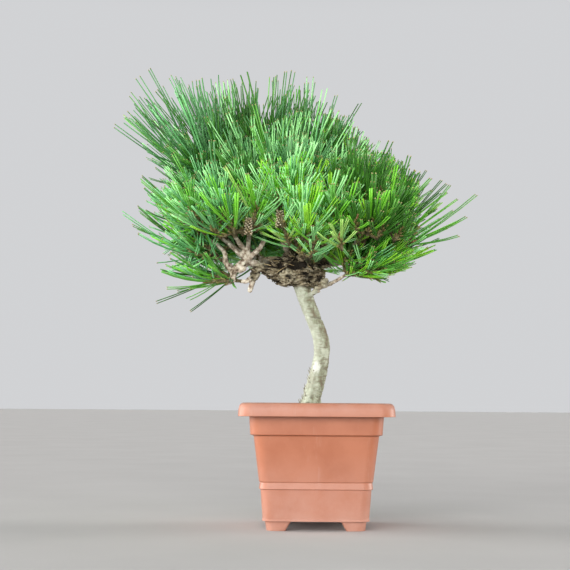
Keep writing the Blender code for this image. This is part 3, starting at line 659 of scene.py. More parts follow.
# %% The limbs: parent, share along it, points, first and last radius
LIMBS = {
    "bough_left": ("trunk", 0.97, [(-58, -7, 258), (-73, -9, 268), (-96, -8, 288)], 6.0, 2.6),
    "bough_left_back": ("trunk", 0.95, [(-46, 20, 262), (-64, 36, 276), (-78, 49, 289)], 5.5, 2.6),
    "bough_back": ("trunk", 0.95, [(-23, 22, 261), (-23, 32, 265), (-22, 41, 269)], 4.6, 2.4),
    "leader": ("trunk", 1.0, [(-26, 6, 282), (-36, 6, 304), (-46, 4, 326)], 6.5, 3.0),
    "bough_right": ("trunk", 0.95, [(4, 4, 260), (34, 4, 266), (68, 3, 276)], 5.5, 2.6),
    "bough_right_back": ("trunk", 0.97, [(0, 22, 262), (16, 36, 272), (32, 50, 282)], 5.0, 2.6),
    "bough_front": ("trunk", 0.97, [(-17, -18, 261), (-14, -32, 269), (-13, -43, 275)], 4.6, 2.4),
    "branch_left_low": ("bough_left", 0.5, [(-78, -8, 254), (-86, -6, 258), (-94, -4, 264)], 3.0, 2.0),
    "branch_bottom_left": ("bough_left", 0.36, [(-64, -12, 248), (-69, -14, 242), (-75, -14, 242)], 3.0, 1.9),
    "branch_front_left": ("bough_left", 0.6, [(-73, -18, 274), (-77, -32, 279), (-80, -44, 283)], 2.8, 2.0),
    "branch_upper_left": ("leader", 0.62, [(-56, 2, 316), (-76, -1, 323), (-92, -3, 330)], 3.0, 2.0),
    "branch_top_left": ("leader", 0.8, [(-54, 10, 326), (-62, 14, 332), (-72, 17, 338)], 2.8, 2.0),
    "branch_top_right": ("leader", 0.66, [(-30, 6, 322), (-22, 5, 328), (-18, 4, 332)], 2.8, 2.0),
    "branch_back_top": ("leader", 0.5, [(-34, 22, 306), (-35, 34, 312), (-36, 42, 317)], 2.8, 2.0),
    "branch_front_top": ("leader", 0.45, [(-33, -14, 302), (-34, -26, 308), (-34, -37, 313)], 2.8, 2.0),
    "branch_upper_right": ("bough_right", 0.4, [(8, 0, 284), (12, -1, 300), (16, -2, 316)], 3.0, 2.0),
    "branch_front_right": ("bough_right", 0.5, [(28, -14, 270), (34, -30, 275), (41, -46, 281)], 2.8, 2.0),
    "branch_shoulder": ("bough_right", 0.68, [(48, -1, 286), (56, -3, 298), (62, -4, 307)], 2.6, 1.9),
    "branch_right_low": ("trunk", 0.86, [(4, -4, 238), (14, -10, 240), (30, -20, 249)], 2.2, 1.7),
}
KNUCKLES = 17
KNUCKLE_SHARE = 0.12

# %% The masses: limb, heart, spread of shoots, needle length, facing and fan in degrees
MASSES = {
    "needles_upper_left": ("branch_upper_left", (-104, -6, 338), (13, 22, 10), 98, (-0.95, 0, 1.0), 32),
    "needles_top_left": ("branch_top_left", (-80, 18, 345), (14, 22, 10), 88, (-0.15, 0.1, 1.0), 20),
    "needles_top": ("leader", (-50, 2, 346), (16, 22, 10), 88, (0.0, -0.05, 1.0), 22),
    "needles_top_right": ("branch_top_right", (-14, 4, 343), (18, 24, 10), 86, (0.2, 0, 1.0), 22),
    "needles_back_top": ("branch_back_top", (-36, 50, 322), (34, 22, 16), 74, (0.0, 0.5, 1.0), 36),
    "needles_front_top": ("branch_front_top", (-34, -46, 318), (32, 20, 16), 66, (-0.1, -0.45, 1.0), 36),
    "needles_upper_right": ("branch_upper_right", (18, -2, 326), (20, 26, 12), 68, (0.45, 0, 1.0), 26),
    "needles_shoulder": ("branch_shoulder", (68, -4, 310), (28, 30, 16), 36, (0.5, 0, 1.0), 46),
    "needles_right": ("bough_right", (82, 2, 281), (18, 28, 16), 56, (1.0, 0, 0.5), 34),
    "needles_right_low": ("branch_right_low", (42, -26, 254), (16, 16, 4), 44, (1.0, -0.25, 0.0), 40),
    "needles_front_right": ("branch_front_right", (46, -58, 290), (30, 24, 20), 50, (0.25, -0.65, 1.0), 48),
    "needles_front": ("bough_front", (-14, -54, 281), (22, 20, 10), 54, (0.1, -0.7, 0.9), 44),
    "needles_front_left": ("branch_front_left", (-84, -54, 288), (28, 22, 18), 62, (-0.35, -0.7, 0.9), 42),
    "needles_left": ("bough_left", (-113, -6, 300), (14, 26, 14), 64, (-0.95, 0, 0.7), 34),
    "needles_left_low": ("branch_left_low", (-107, -2, 268), (11, 22, 7), 68, (-1.0, 0, 0.3), 30),
    "needles_bottom_left": ("branch_bottom_left", (-84, -14, 243), (6, 12, 4), 54, (-1.0, -0.1, -0.1), 30),
    "needles_back_left": ("bough_left_back", (-86, 58, 300), (32, 24, 22), 70, (-0.5, 0.8, 0.9), 42),
    "needles_back": ("bough_back", (-22, 58, 283), (28, 20, 12), 56, (0.0, 0.8, 0.8), 44),
    "needles_back_right": ("bough_right_back", (42, 58, 290), (32, 26, 22), 58, (0.4, 0.8, 0.9), 45),
}
SOURCE_SHOOTS = 4
SHOOT_LENGTH = 24
TILT_AT_TIP = 8
NEEDLE_JITTER = 12
SHOOT_FAN = 80
SHOOT_LIFT = 0.2
GOLDEN_TURN = math.pi * (3 - math.sqrt(5))
print("limbs:", len(LIMBS), "masses:", len(MASSES))


# %% The rule itself
def smooth_line(points, share):
    """A point on the Catmull-Rom curve through a list of vectors, share 0 to 1 along it."""
    last = len(points) - 1
    place = min(max(share, 0), 1) * last
    i = min(int(place), last - 1)
    t = place - i
    p1, p2 = points[i], points[i + 1]
    p0 = points[i - 1] if i > 0 else p1 + (p1 - p2)
    p3 = points[i + 2] if i + 2 <= last else p2 + (p2 - p1)
    bend = 2 * p0 - 5 * p1 + 4 * p2 - p3
    twist = 3 * (p1 - p2) + p3 - p0
    return 0.5 * (2 * p1 + (p2 - p0) * t + bend * t * t + twist * t**3)


def trunk_middle(share):
    return smooth_line([Vector(point) for point, radius in TRUNK_LINE], share)


def trunk_radius(share):
    return smooth_line([Vector((radius, 0, 0)) for point, radius in TRUNK_LINE], share).x


def limb_point(name, share):
    parent, leaves_at, points, first_radius, last_radius = LIMBS[name]
    start = trunk_middle(leaves_at) if parent == "trunk" else limb_point(parent, leaves_at)
    return smooth_line([start] + [Vector(point) for point in points], share)


def limb_radius(name, share):
    first_radius, last_radius = LIMBS[name][3:]
    swelling = KNUCKLE_SHARE * math.sin(share * KNUCKLES + len(name)) * (1 - share)
    return first_radius + share * (last_radius - first_radius) + first_radius * swelling


def even_share(i):
    """The i-th of a row of numbers that fills 0 to 1 evenly however long the row is."""
    share, half = 0, 0.5
    while i:
        share += half * (i % 2)
        i //= 2
        half /= 2
    return share


def shoots_of(mass, count):
    """The shoots of a mass: foot, tip and axis of each, spread evenly about its heart."""
    limb, heart, spread, length, facing, fan = MASSES[mass]
    rng = random.Random(mass)
    facing = Vector(facing).normalized()
    shoots = []
    for i in range(count):
        height = 1 - 2 * even_share(i + 1)
        turn = i * GOLDEN_TURN + rng.uniform(-0.3, 0.3)
        flat = math.sqrt(1 - height * height)
        out = Vector((math.cos(turn) * flat, math.sin(turn) * flat, height))
        foot = Vector(heart) + Vector([d * s for d, s in zip(out, spread)]) * rng.uniform(0.7, 1)
        axis = (facing + out * fan / SHOOT_FAN + SHOOT_LIFT * UP).normalized()
        shoots.append((foot, foot + axis * SHOOT_LENGTH, axis))
    return shoots


# %% [markdown]
# ## The bark's body
#
# Trunk, swollen head and boughs are one living skin, so joints between them should flow.
# Tubes alone would show creases where they meet. Here every limb is a chain of cones and
# balls, the head is a few squashed balls, and one voxel remesh melts them together. After
# a little smoothing the relief is pushed into the mesh itself: rings and flakes on the
# trunk, deep torn ridges on the head, knuckles on the boughs.

# %% Small limbs that only the surface needs, in millimetres: points and radii
STUBS = [
    ([(-58, -8, 259), (-66, -12, 262), (-74, -16, 260), (-81, -17, 253), (-83, -16, 247)], 3.8, 3.0),
    ([(-71, -15, 263), (-64, -19, 267), (-56.5, -21, 274.5), (-52.5, -22, 281.5)], 3.1, 2.2),
    ([(-69, -15, 265), (-68, -18, 275), (-67.5, -19, 285), (-68.5, -20, 293)], 3.0, 2.0),
    ([(-70, -15, 266), (-79, -18, 271), (-86.5, -19, 279)], 2.5, 1.6),
    (
        [
            (-82, -16, 249), (-88, -17, 256), (-91, -17, 264),
            (-91.5, -17, 270), (-98, -16, 277), (-103, -15, 282),
        ],
        3.0,
        1.8,
    ),
    ([(-82, -16, 248), (-83, -16, 242), (-91, -16, 238)], 2.7, 1.6),
    ([(-76, -16, 252), (-72, -19, 254)], 2.6, 2.5),
    ([(-24, -10, 266), (-33, -18, 280), (-38, -21, 296), (-37, -22, 309)], 2.8, 2.0),
    ([(-56, -6, 256), (-62, -9, 247), (-66, -11, 233)], 3.2, 2.6),
    ([(-13, -9, 239), (-8, -11, 240), (-2, -10, 240)], 1.9, 1.2),
    ([(-8, -5, 228), (-3, -7, 231), (1, -7, 235), (6, -6, 239)], 2.6, 2.2),
    ([(-3, -7, 231), (0, -9, 231.5), (3.5, -10, 232.5)], 1.6, 1.1),
    ([(4, -4, 238), (7, -7, 241), (10, -8, 244)], 1.6, 1.0),
]
CHAIN_STEPS = 14
TRUNK_STEPS = 40
# Swellings where the roots leave the foot: the turn, the reach and the radius of each.
ROOT_TOES = [(0.2, 9.5, 3.4), (1.5, 8.5, 3.0), (2.7, 10.5, 3.6), (4.1, 9.0, 3.2), (5.3, 9.0, 3.0)]
TOE_TOP = (5, 9)
TOE_SUNK = 1.5
VOXEL = 0.75


# %% Cones and balls for every limb
def add_chain(bm, points, radii):
    """A limb as cones with a ball at each joint, all overlapping."""
    for start, end, first, last in zip(points, points[1:], radii, radii[1:]):
        run = end - start
        turn = run.to_track_quat("Z", "Y").to_matrix().to_4x4()
        bmesh.ops.create_cone(
            bm, cap_ends=True, segments=12, radius1=first, radius2=last, depth=run.length,
            matrix=Matrix.Translation((start + end) / 2) @ turn,
        )
    for point, radius in zip(points, radii):
        bmesh.ops.create_icosphere(bm, subdivisions=2, radius=radius, matrix=Matrix.Translation(point))


bm = bmesh.new()
shares = [i / TRUNK_STEPS for i in range(TRUNK_STEPS + 1)]
add_chain(bm, [trunk_middle(share) for share in shares], [trunk_radius(share) for share in shares])
for name in LIMBS:
    shares = [i / CHAIN_STEPS for i in range(CHAIN_STEPS + 1)]
    line = [limb_point(name, share) for share in shares]
    add_chain(bm, line, [limb_radius(name, share) for share in shares])
for points, first, last in STUBS:
    line = [smooth_line([Vector(point) for point in points], i / CHAIN_STEPS) for i in range(CHAIN_STEPS + 1)]
    add_chain(bm, line, [first + i / CHAIN_STEPS * (last - first) for i in range(CHAIN_STEPS + 1)])
for middle, half_sizes in HEAD_LUMPS:
    squash = Matrix.Diagonal((*half_sizes, 1))
    bmesh.ops.create_icosphere(bm, subdivisions=3, radius=1, matrix=Matrix.Translation(middle) @ squash)
trunk_foot = Vector(TRUNK_LINE[0][0])
for turn, reach, radius in ROOT_TOES:
    toe = Vector((math.cos(turn), math.sin(turn), 0))
    top = trunk_foot + UP * TOE_TOP[1] + toe * TOE_TOP[0]
    add_chain(bm, [top, trunk_foot + UP * TOE_SUNK + toe * reach], [radius + 1, radius])
print("tubes and balls:", len(bm.faces), "faces")

# %% Melt them into one skin
mesh = bpy.data.meshes.new("bark")
bm.to_mesh(mesh)
bm.free()
melted = bpy.data.objects.new("bark_tubes", mesh)
bpy.context.scene.collection.objects.link(melted)
remesh = melted.modifiers.new("melt", "REMESH")
remesh.mode = "VOXEL"
remesh.voxel_size = VOXEL
smooth = melted.modifiers.new("relax", "SMOOTH")
smooth.factor = 0.5
smooth.iterations = 3
graph = bpy.context.evaluated_depsgraph_get()
skin = bpy.data.meshes.new_from_object(melted.evaluated_get(graph))
bpy.data.objects.remove(melted)
bpy.data.meshes.remove(mesh)
print("skin:", len(skin.polygons), "faces")

# %% How deep the relief is, and where
BURL_MIDDLE = Vector((-19, 0, 254))
BURL_SIZE = Vector((37, 36, 22))
# The arm towards the left boughs counts as head: it gets the head's torn relief and its dark bark, which
# there is painted shade.
ARM_MIDDLE = Vector((-56, -7, 250))
ARM_SIZE = Vector((12, 13, 9))
TRUNK_TOP = 238
TRUNK_REACH = 17
NECK_REACH = 11.5
# How deep each pattern cuts, in millimetres.
WRINKLES = 0.16
FINE_WRINKLES = 0.14
FLAKES = 0.45
TRUNK_SWELL = 0.5
RAGGED_FOOT = 0.9
RAGGED_REACH = 26
HEAD_LUMP = 2.0
TORN_RIDGES = 2.0
SPLINTERS = 1.3
HEAD_GRAIN = 0.45
HEAD_SUNK = 2.1
KNUCKLE_LUMP = 0.55
BOUGH_SCALES = 0.30
BOUGH_GRAIN = 0.16
BOUGH_SUNK = 0.15
# Old marks round the trunk: height, depth (below 0 stands proud) and width.
RINGS = [
    (219.7, 0.40, 0.8),
    (206.5, 0.65, 0.9),
    (204.0, -0.30, 0.7),
    (193.0, 0.30, 0.6),
    (185.0, 0.25, 0.5),
    (171.0, 0.30, 0.6),
    (163.5, -0.35, 1.0),
    (157.0, 0.35, 0.7),
    (149.0, 0.35, 0.6),
    (141.0, 0.40, 0.8),
    (133.0, 0.40, 0.7),
    (127.0, 0.50, 0.9),
]
# Hollows: middle, radius and depth.
PITS = [
    ((-21, -18, 261), 9.5, 10.0),
    ((-5, -11, 257), 5.0, 4.5),
    ((-34, -18, 254), 4.5, 3.5),
    ((-9, -16, 249), 4.2, 3.2),
    ((-28, -20, 245), 4.0, 2.6),
    ((-38, -16, 250), 4.0, 3.0),
    ((-4.6, -8.5, 127), 2.2, 1.0),
    ((1.5, -8.5, 128), 1.8, 0.9),
    ((-50, -8, 251), 5.0, 3.2),
]


# %% Noises that shape the relief
def squeezed(place, across, upwards, shift=0):
    """A place for a noise, scaled by one number sideways and by another upwards."""
    return Vector((place.x * across, place.y * across, place.z * upwards + shift))


def ridges(place):
    """Sharp crests with rounded valleys, up to 1."""
    return 1 - abs(noise(place)) * 2


def reach_in(place, middle, half_sizes):
    """0 in the middle of an egg shape and 1 on its surface."""
    return math.sqrt(sum((d / s) ** 2 for d, s in zip(place - middle, half_sizes)))


def burl_share(place, away):
    """How much of a point is torn head, with the arm's dark bark as painted shade: away is how far it lies
    from the trunk's line.
    """
    reach = min(reach_in(place, BURL_MIDDLE, BURL_SIZE), reach_in(place, ARM_MIDDLE, ARM_SIZE))
    share = min(max((1.25 - reach) / 0.35, 0), 1)
    if away > NECK_REACH:
        return share
    ragged = place.z + 1.5 * noise(place * 0.3)
    return share * min(max((ragged - TRUNK_TOP + 2.5) / 3, 0), 1)


# %% One relief for each bark
def trunk_relief(place):
    """Fine wrinkles round the trunk, thin flakes, and old ring marks, in millimetres."""
    wrinkles = WRINKLES * noise(squeezed(place, 0.10, 0.85))
    fine = FINE_WRINKLES * noise(squeezed(place, 0.35, 1.7))
    flakes = FLAKES * max(0, noise(squeezed(place, 0.16, 0.11, 40)) - 0.12)
    height = wrinkles + fine + flakes + TRUNK_SWELL * noise(place * 0.07)
    slant = place.z + 0.13 * place.x + 0.9 * noise(squeezed(place, 0.12, 0, 7))
    for ring, depth, width in RINGS:
        height -= depth * math.exp(-(((slant - ring) / width) ** 2))
    ragged = max(0, 1 - (place.z - GROUND) / RAGGED_REACH)
    return height + ragged * RAGGED_FOOT * noise(squeezed(place, 0.3, 0.2, 9))


def burl_relief(place):
    """Torn, mostly level ridges over big soft lumps."""
    lumps = HEAD_LUMP * noise(place * 0.075 + Vector((3, 1, 7)))
    torn = TORN_RIDGES * ridges(squeezed(place, 0.11, 0.24))
    splinters = SPLINTERS * ridges(squeezed(place, 0.22, 0.5, 3))
    return lumps + torn + splinters + HEAD_GRAIN * noise(place * 0.8) - HEAD_SUNK


def bough_relief(place):
    """Knuckles where old shoots were cut, with fine scales between them."""
    knuckles = KNUCKLE_LUMP * noise(place * 0.16 + Vector((11, 0, 0)))
    scales = BOUGH_SCALES * ridges(place * 0.42)
    return knuckles + scales + BOUGH_GRAIN * noise(place * 1.1) - BOUGH_SUNK


# %% Push the relief into the skin
count = len(skin.vertices)
burl = np.zeros(count)
young = np.zeros(count)
relief = np.zeros(count)
pitted = np.zeros(count)
starts = [vert.co.copy() for vert in skin.vertices]
normals = [vert.normal.copy() for vert in skin.vertices]
raised = []
points = np.array(starts)
line = np.array([trunk_middle(i / TRUNK_STEPS) for i in range(TRUNK_STEPS + 1)])
line_x, line_y = (np.interp(points[:, 2], line[:, 2], line[:, axis]) for axis in (0, 1))
aways = np.hypot(points[:, 0] - line_x, points[:, 1] - line_y)
for i, place in enumerate(starts):
    burl[i] = burl_share(place, aways[i])
    on_trunk = int(place.z < TRUNK_TOP and aways[i] < TRUNK_REACH)
    young[i] = (1 - burl[i]) * (1 - on_trunk)
    height = burl[i] * burl_relief(place)
    if on_trunk:
        height += (1 - burl[i]) * trunk_relief(place)
    elif young[i]:
        height += young[i] * bough_relief(place)
    for middle, size, depth in PITS:
        away = (place - Vector(middle)).length / size
        if away < 1:
            height -= depth * (1 - away * away) ** 2
            pitted[i] = max(pitted[i], min(2 * (1 - away), 1))
    relief[i] = height
    place = place + normals[i] * height
    raised.append((place.x, place.y, max(place.z, GROUND)))
skin.vertices.foreach_set("co", np.array(raised, np.float32).ravel())
print("relief from", round(relief.min(), 1), "to", round(relief.max(), 1), "mm")

# %% [markdown]
# ## Bark colours
#
# Three barks meet on this tree. The trunk is pale: cream and greenish grey, with beige
# patches, thin dark ring lines and a whitish peeled place; its left-facing side is painted
# paler, which is painted light. The head is grey-brown and torn, with a painted highlight on
# its raised crests. The boughs are pinkish beige, knobbly and dusty. On all three, cracks,
# grooves and hollows are darkened by how deep they lie: painted shade. The skin stores how
# much of each a point is, how deep it lies, and where the painted light falls, as
# attributes, and one material reads them.

# %% The bark material
TRUNK_CREAM = (0.48, 0.51, 0.40)
TRUNK_GREEN = (0.27, 0.29, 0.20)
TRUNK_BEIGE = (0.18, 0.15, 0.10)
# The trunk's dark tone is used only as painted shade, in its cracks and grooves.
TRUNK_DARK = (0.09, 0.072, 0.050)
PEELED = (0.62, 0.63, 0.57)
# A paler tone painted on the trunk's left-facing side: painted light.
LEFT_LIGHT_TONE = (0.50, 0.53, 0.43)
# The head's palest tone is a painted highlight on its raised crests.
BURL_HIGHLIGHT = (0.47, 0.42, 0.30)
BURL_LIGHT = (0.33, 0.28, 0.18)
BURL_MID = (0.115, 0.092, 0.053)
BURL_DARK = (0.018, 0.014, 0.009)
BOUGH_LIGHT = (0.78, 0.72, 0.60)
BOUGH_MID = (0.42, 0.335, 0.25)
BOUGH_DARK = (0.11, 0.078, 0.050)

bark, shader = new_material("bark", 0.85, 0.25)


def from_skin(name):
    """A number that the skin stores at each of its points."""
    return add_node(bark, "ShaderNodeAttribute", attribute_name=name).outputs["Fac"]


place = object_place(bark)
level = object_place(bark, (0.35, 0.35, 1.6))
bands = speckle(bark, level, 320, 4, 0.6)
patches = speckle(bark, object_place(bark, (1, 1, 0.55)), 110, 5, 0.65)
trunk_tone = ramp(bark, patches, (0.36, TRUNK_BEIGE), (0.47, TRUNK_GREEN), (0.58, TRUNK_CREAM))
dark_lines = ramp(bark, bands, (0.38, 0.80), (0.50, 0.0))
trunk_colour = blend(bark, dark_lines, trunk_tone, TRUNK_BEIGE)
# Painted shade: cracks, ring grooves and hollows are darkened by how deep they lie.
deep = from_skin("deep")
trunk_colour = blend(bark, deep, trunk_colour, TRUNK_DARK)
# Painted light: the trunk's left-facing side is made paler.
trunk_colour = blend(bark, from_skin("bleached"), trunk_colour, LEFT_LIGHT_TONE)
trunk_colour = blend(bark, from_skin("peeled"), trunk_colour, PEELED)
torn = speckle(bark, object_place(bark, (0.5, 0.5, 1.3)), 210, 5, 0.65)
burl_tone = ramp(bark, torn, (0.38, BURL_DARK), (0.49, BURL_MID), (0.60, BURL_LIGHT))
# Painted highlight: the head's raised crests are made paler.
crest = from_skin("crest")
burl_colour = blend(bark, deep, blend(bark, crest, burl_tone, BURL_HIGHLIGHT), BURL_DARK)
scales = speckle(bark, place, 260, 4, 0.6)
bough_tone = ramp(bark, scales, (0.34, BOUGH_DARK), (0.46, BOUGH_MID), (0.62, BOUGH_LIGHT))
bough_colour = blend(bark, deep, bough_tone, BOUGH_DARK)
is_young = from_skin("young")
is_burl = from_skin("burl")
both = blend(bark, is_young, trunk_colour, bough_colour)
colour_from(bark, shader, blend(bark, is_burl, both, burl_colour))
roughen(bark, shader, speckle(bark, level, 900, 5, 0.7), 0.0004, 0.9)

# %% The finished skin
PEEL_PLACE = Vector((-0.5, -7, 157))
PEEL_SIZE = Vector((4.5, 6, 6.5))
# Painted shade: the deeper a point lies in the relief or in a hollow, the darker it is painted.
painted_shade_share = np.clip((-relief - 0.25) / 0.9, 0, 1) * (1 - burl)
painted_shade_share += np.clip((-relief + 0.1) / 1.5, 0, 1) * burl
painted_shade_share = np.maximum(painted_shade_share, pitted * burl)
# Painted highlight: the higher a point stands in the relief, the paler the head is painted there.
crest = np.clip((relief - 0.5) / 1.0, 0, 1) * 0.75
peeled = np.zeros(count)
bleached = np.zeros(count)
for i, vert in enumerate(skin.vertices):
    ragged = 0.45 * noise(vert.co * 0.3) + 0.35 * noise(vert.co * 0.8)
    edge = reach_in(vert.co, PEEL_PLACE, PEEL_SIZE) + ragged
    peeled[i] = min(max((1.1 - edge) / 0.35, 0), 1) * (1 - burl[i]) * (1 - young[i])
    # Painted light: points that face left, towards the lamps on that side, are made paler.
    shaded = normals[i].x * 0.9 + 0.55 * noise(squeezed(vert.co, 0.2, 0.45))
    bleached[i] = min(max(0.2 - shaded, 0), 0.5)
stored = {"burl": burl, "young": young, "deep": painted_shade_share}
stored |= {"crest": crest, "peeled": peeled, "bleached": bleached}
for name, values in stored.items():
    attribute = skin.attributes.new(name, "FLOAT", "POINT")
    attribute.data.foreach_set("value", values.astype(np.float32))
skin.transform(Matrix.Translation(POT_MIDDLE) @ Matrix.Scale(MM, 4))
skin.materials.clear()
skin.materials.append(bark)
skin.shade_smooth()
bark_skin = bpy.data.objects.new("bark_skin", skin)
bpy.context.scene.collection.objects.link(bark_skin)
place_piece(bark_skin, ["trunk", *LIMBS])

# %% [markdown]
# ## Stalks
#
# Twigs, bud scales, needle sheaths, needles and their cut tips are all the same thing at
# different sizes: a slender closed stalk with a few rings. Thousands are needed, so one
# function makes them by arrays, any number at once, from where each starts, where it runs,
# how it bends and how thick it is at each ring.

# %% One function for every slender thing
def stalk_faces(rings, sides):
    """Triangles of one stalk, outside out: its sides, its foot and its tip."""
    faces = []
    for ring in range(rings - 1):
        for side in range(sides):
            a = ring * sides + side
            b = ring * sides + (side + 1) % sides
            faces += [(a, b, b + sides), (a, b + sides, a + sides)]
    last = (rings - 1) * sides
    for side in range(1, sides - 1):
        faces += [(0, side + 1, side), (last, last + side, last + side + 1)]
    return np.array(faces)


def stalks(starts, runs, bends, radii, sides, flat=1.0, turns=None, thin=None):
    """Closed stalks from arrays of places, runs, bends and radii in millimetres.

    flat makes each thinner one way, which is towards thin where that is given."""
    starts, runs, bends, radii = (np.asarray(values, float) for values in (starts, runs, bends, radii))
    rings = radii.shape[1]
    share = np.linspace(0, 1, rings)[None, :, None]
    middles = starts[:, None] + runs[:, None] * share + bends[:, None] * share**2
    axis = runs / np.linalg.norm(runs, axis=1, keepdims=True)
    helper = np.where(np.abs(axis[:, 2:]) > 0.9, [[1.0, 0, 0]], [[0, 0, 1.0]])
    side = np.cross(helper, axis) if thin is None else np.cross(np.asarray(thin, float), axis)
    side /= np.linalg.norm(side, axis=1, keepdims=True)
    other = np.cross(axis, side)
    first = np.zeros(len(starts)) if turns is None else np.asarray(turns, float)
    angle = first[:, None] + np.arange(sides)[None] * 2 * np.pi / sides
    wide = np.cos(angle)[:, :, None] * side[:, None] + flat * np.sin(angle)[:, :, None] * other[:, None]
    points = middles[:, :, None] + wide[:, None] * radii[:, :, None, None]
    return points.reshape(len(starts), rings * sides, 3), stalk_faces(rings, sides)


# %% [markdown]
# ## Twigs and shoots
#
# Each mass starts as it does in the solids: a stem from the limb's tip to the heart, and a
# twig to each of the first shoots. Finer twigs then leave whatever wood is nearest to the
# next shoot, which gives the forked, antler-like look of a bonsai's ramification. Pine
# shoots keep little bract scales where old needles fell, so each is set with pegs.

# %% How many sprays each mass carries
# The grower keeps the low left boughs and the head bare in front. Each bare place is a box
# between two corners, and the clearings add the places before the two old clusters.
BARE_PLACES = [
    ((-89, -200, 247), (-46, -12, 281)),
    ((-78, -200, 215), (-46, -12, 247)),
    ((-46, -200, 235), (-27, -12, 255)),
    ((-27, -200, 235), (6, -12, 262)),
]
CLEARINGS = BARE_PLACES + [
    ((-71, -200, 280), (-62, -61, 300)),
    ((-41, -200, 288), (-32, -61, 307)),
]

# Each habit gives the outer shoots, the pairs on each, how many of those reach full length,
# the inner shoots, the pairs on each of these, and the share of its length that the rest has.
HABITS = {
    "fan": (10, 12, 6, 7, 14, (0.42, 0.72)),
    "plume": (10, 12, 5, 7, 14, (0.44, 0.74)),
    "loose": (11, 14, 2, 10, 15, (0.42, 0.70)),
    "tuft": (18, 14, 6, 11, 13, (0.60, 0.85)),
    "fringe": (16, 15, 1, 10, 13, (0.42, 0.66)),
    "brush": (9, 15, 6, 6, 13, (0.60, 0.85)),
    "sparse": (5, 9, 4, 2, 8, (0.45, 0.80)),
    "wisp": (5, 7, 5, 0, 0, (0.50, 0.90)),
}

# %% Which habit each mass has, and the sizes that all share
SPARSE = {"needles_left_low"}
WISPS = {"needles_bottom_left"}
BRUSHES = {"needles_right_low"}
FANS = {"needles_upper_left", "needles_top_left"}
LOOSE = {"needles_left", "needles_front_left", "needles_back_left", "needles_back_top", "needles_front_top"}
FRINGED = {"needles_right"}
DROOPING = SPARSE | WISPS | BRUSHES | {"needles_left", "needles_back_left", "needles_back"}
LONG_NEEDLE = 65
FULL_LENGTH = (0.87, 1.04)
FULL_FAN = 0.72
WISP_FAN = 1.5
PART_FAN = 1.5
WIDEST_FAN = 52
INNER_REACH = 14
INNER_LENGTH = (0.36, 0.60)
INNER_AXIS = 16
INNER_FAN = 65
TWIG_RADIUS = 1.6
FINE_TWIG_RADIUS = 1.1
SHOOTS_END = 90
PULLED_BACK = 0.65


def habit_of(mass):
    if mass in SPARSE:
        return "sparse"
    if mass in WISPS:
        return "wisp"
    if mass in LOOSE:
        return "loose"
    if mass in FRINGED:
        return "fringe"
    if mass in BRUSHES:
        return "brush"
    if mass in FANS:
        return "fan"
    return "plume" if MASSES[mass][3] > LONG_NEEDLE else "tuft"


def inner_shoots(mass, count):
    """Shorter shoots inside the mass, which fill its body."""
    limb, heart, spread, length, facing, fan = MASSES[mass]
    rng = random.Random(mass + " inner")
    shoots = []
    for i in range(count):
        out = Vector([rng.gauss(0, 1) for axis in range(3)]).normalized()
        reach = Vector([d * (s + INNER_REACH) for d, s in zip(out, spread)])
        foot = Vector(heart) + reach * rng.uniform(0.3, 1.0)
        axis = (Vector(facing).normalized() + out * 0.6 + UP * 0.3).normalized()
        shoots.append((foot, foot + axis * INNER_AXIS, axis))
    return shoots


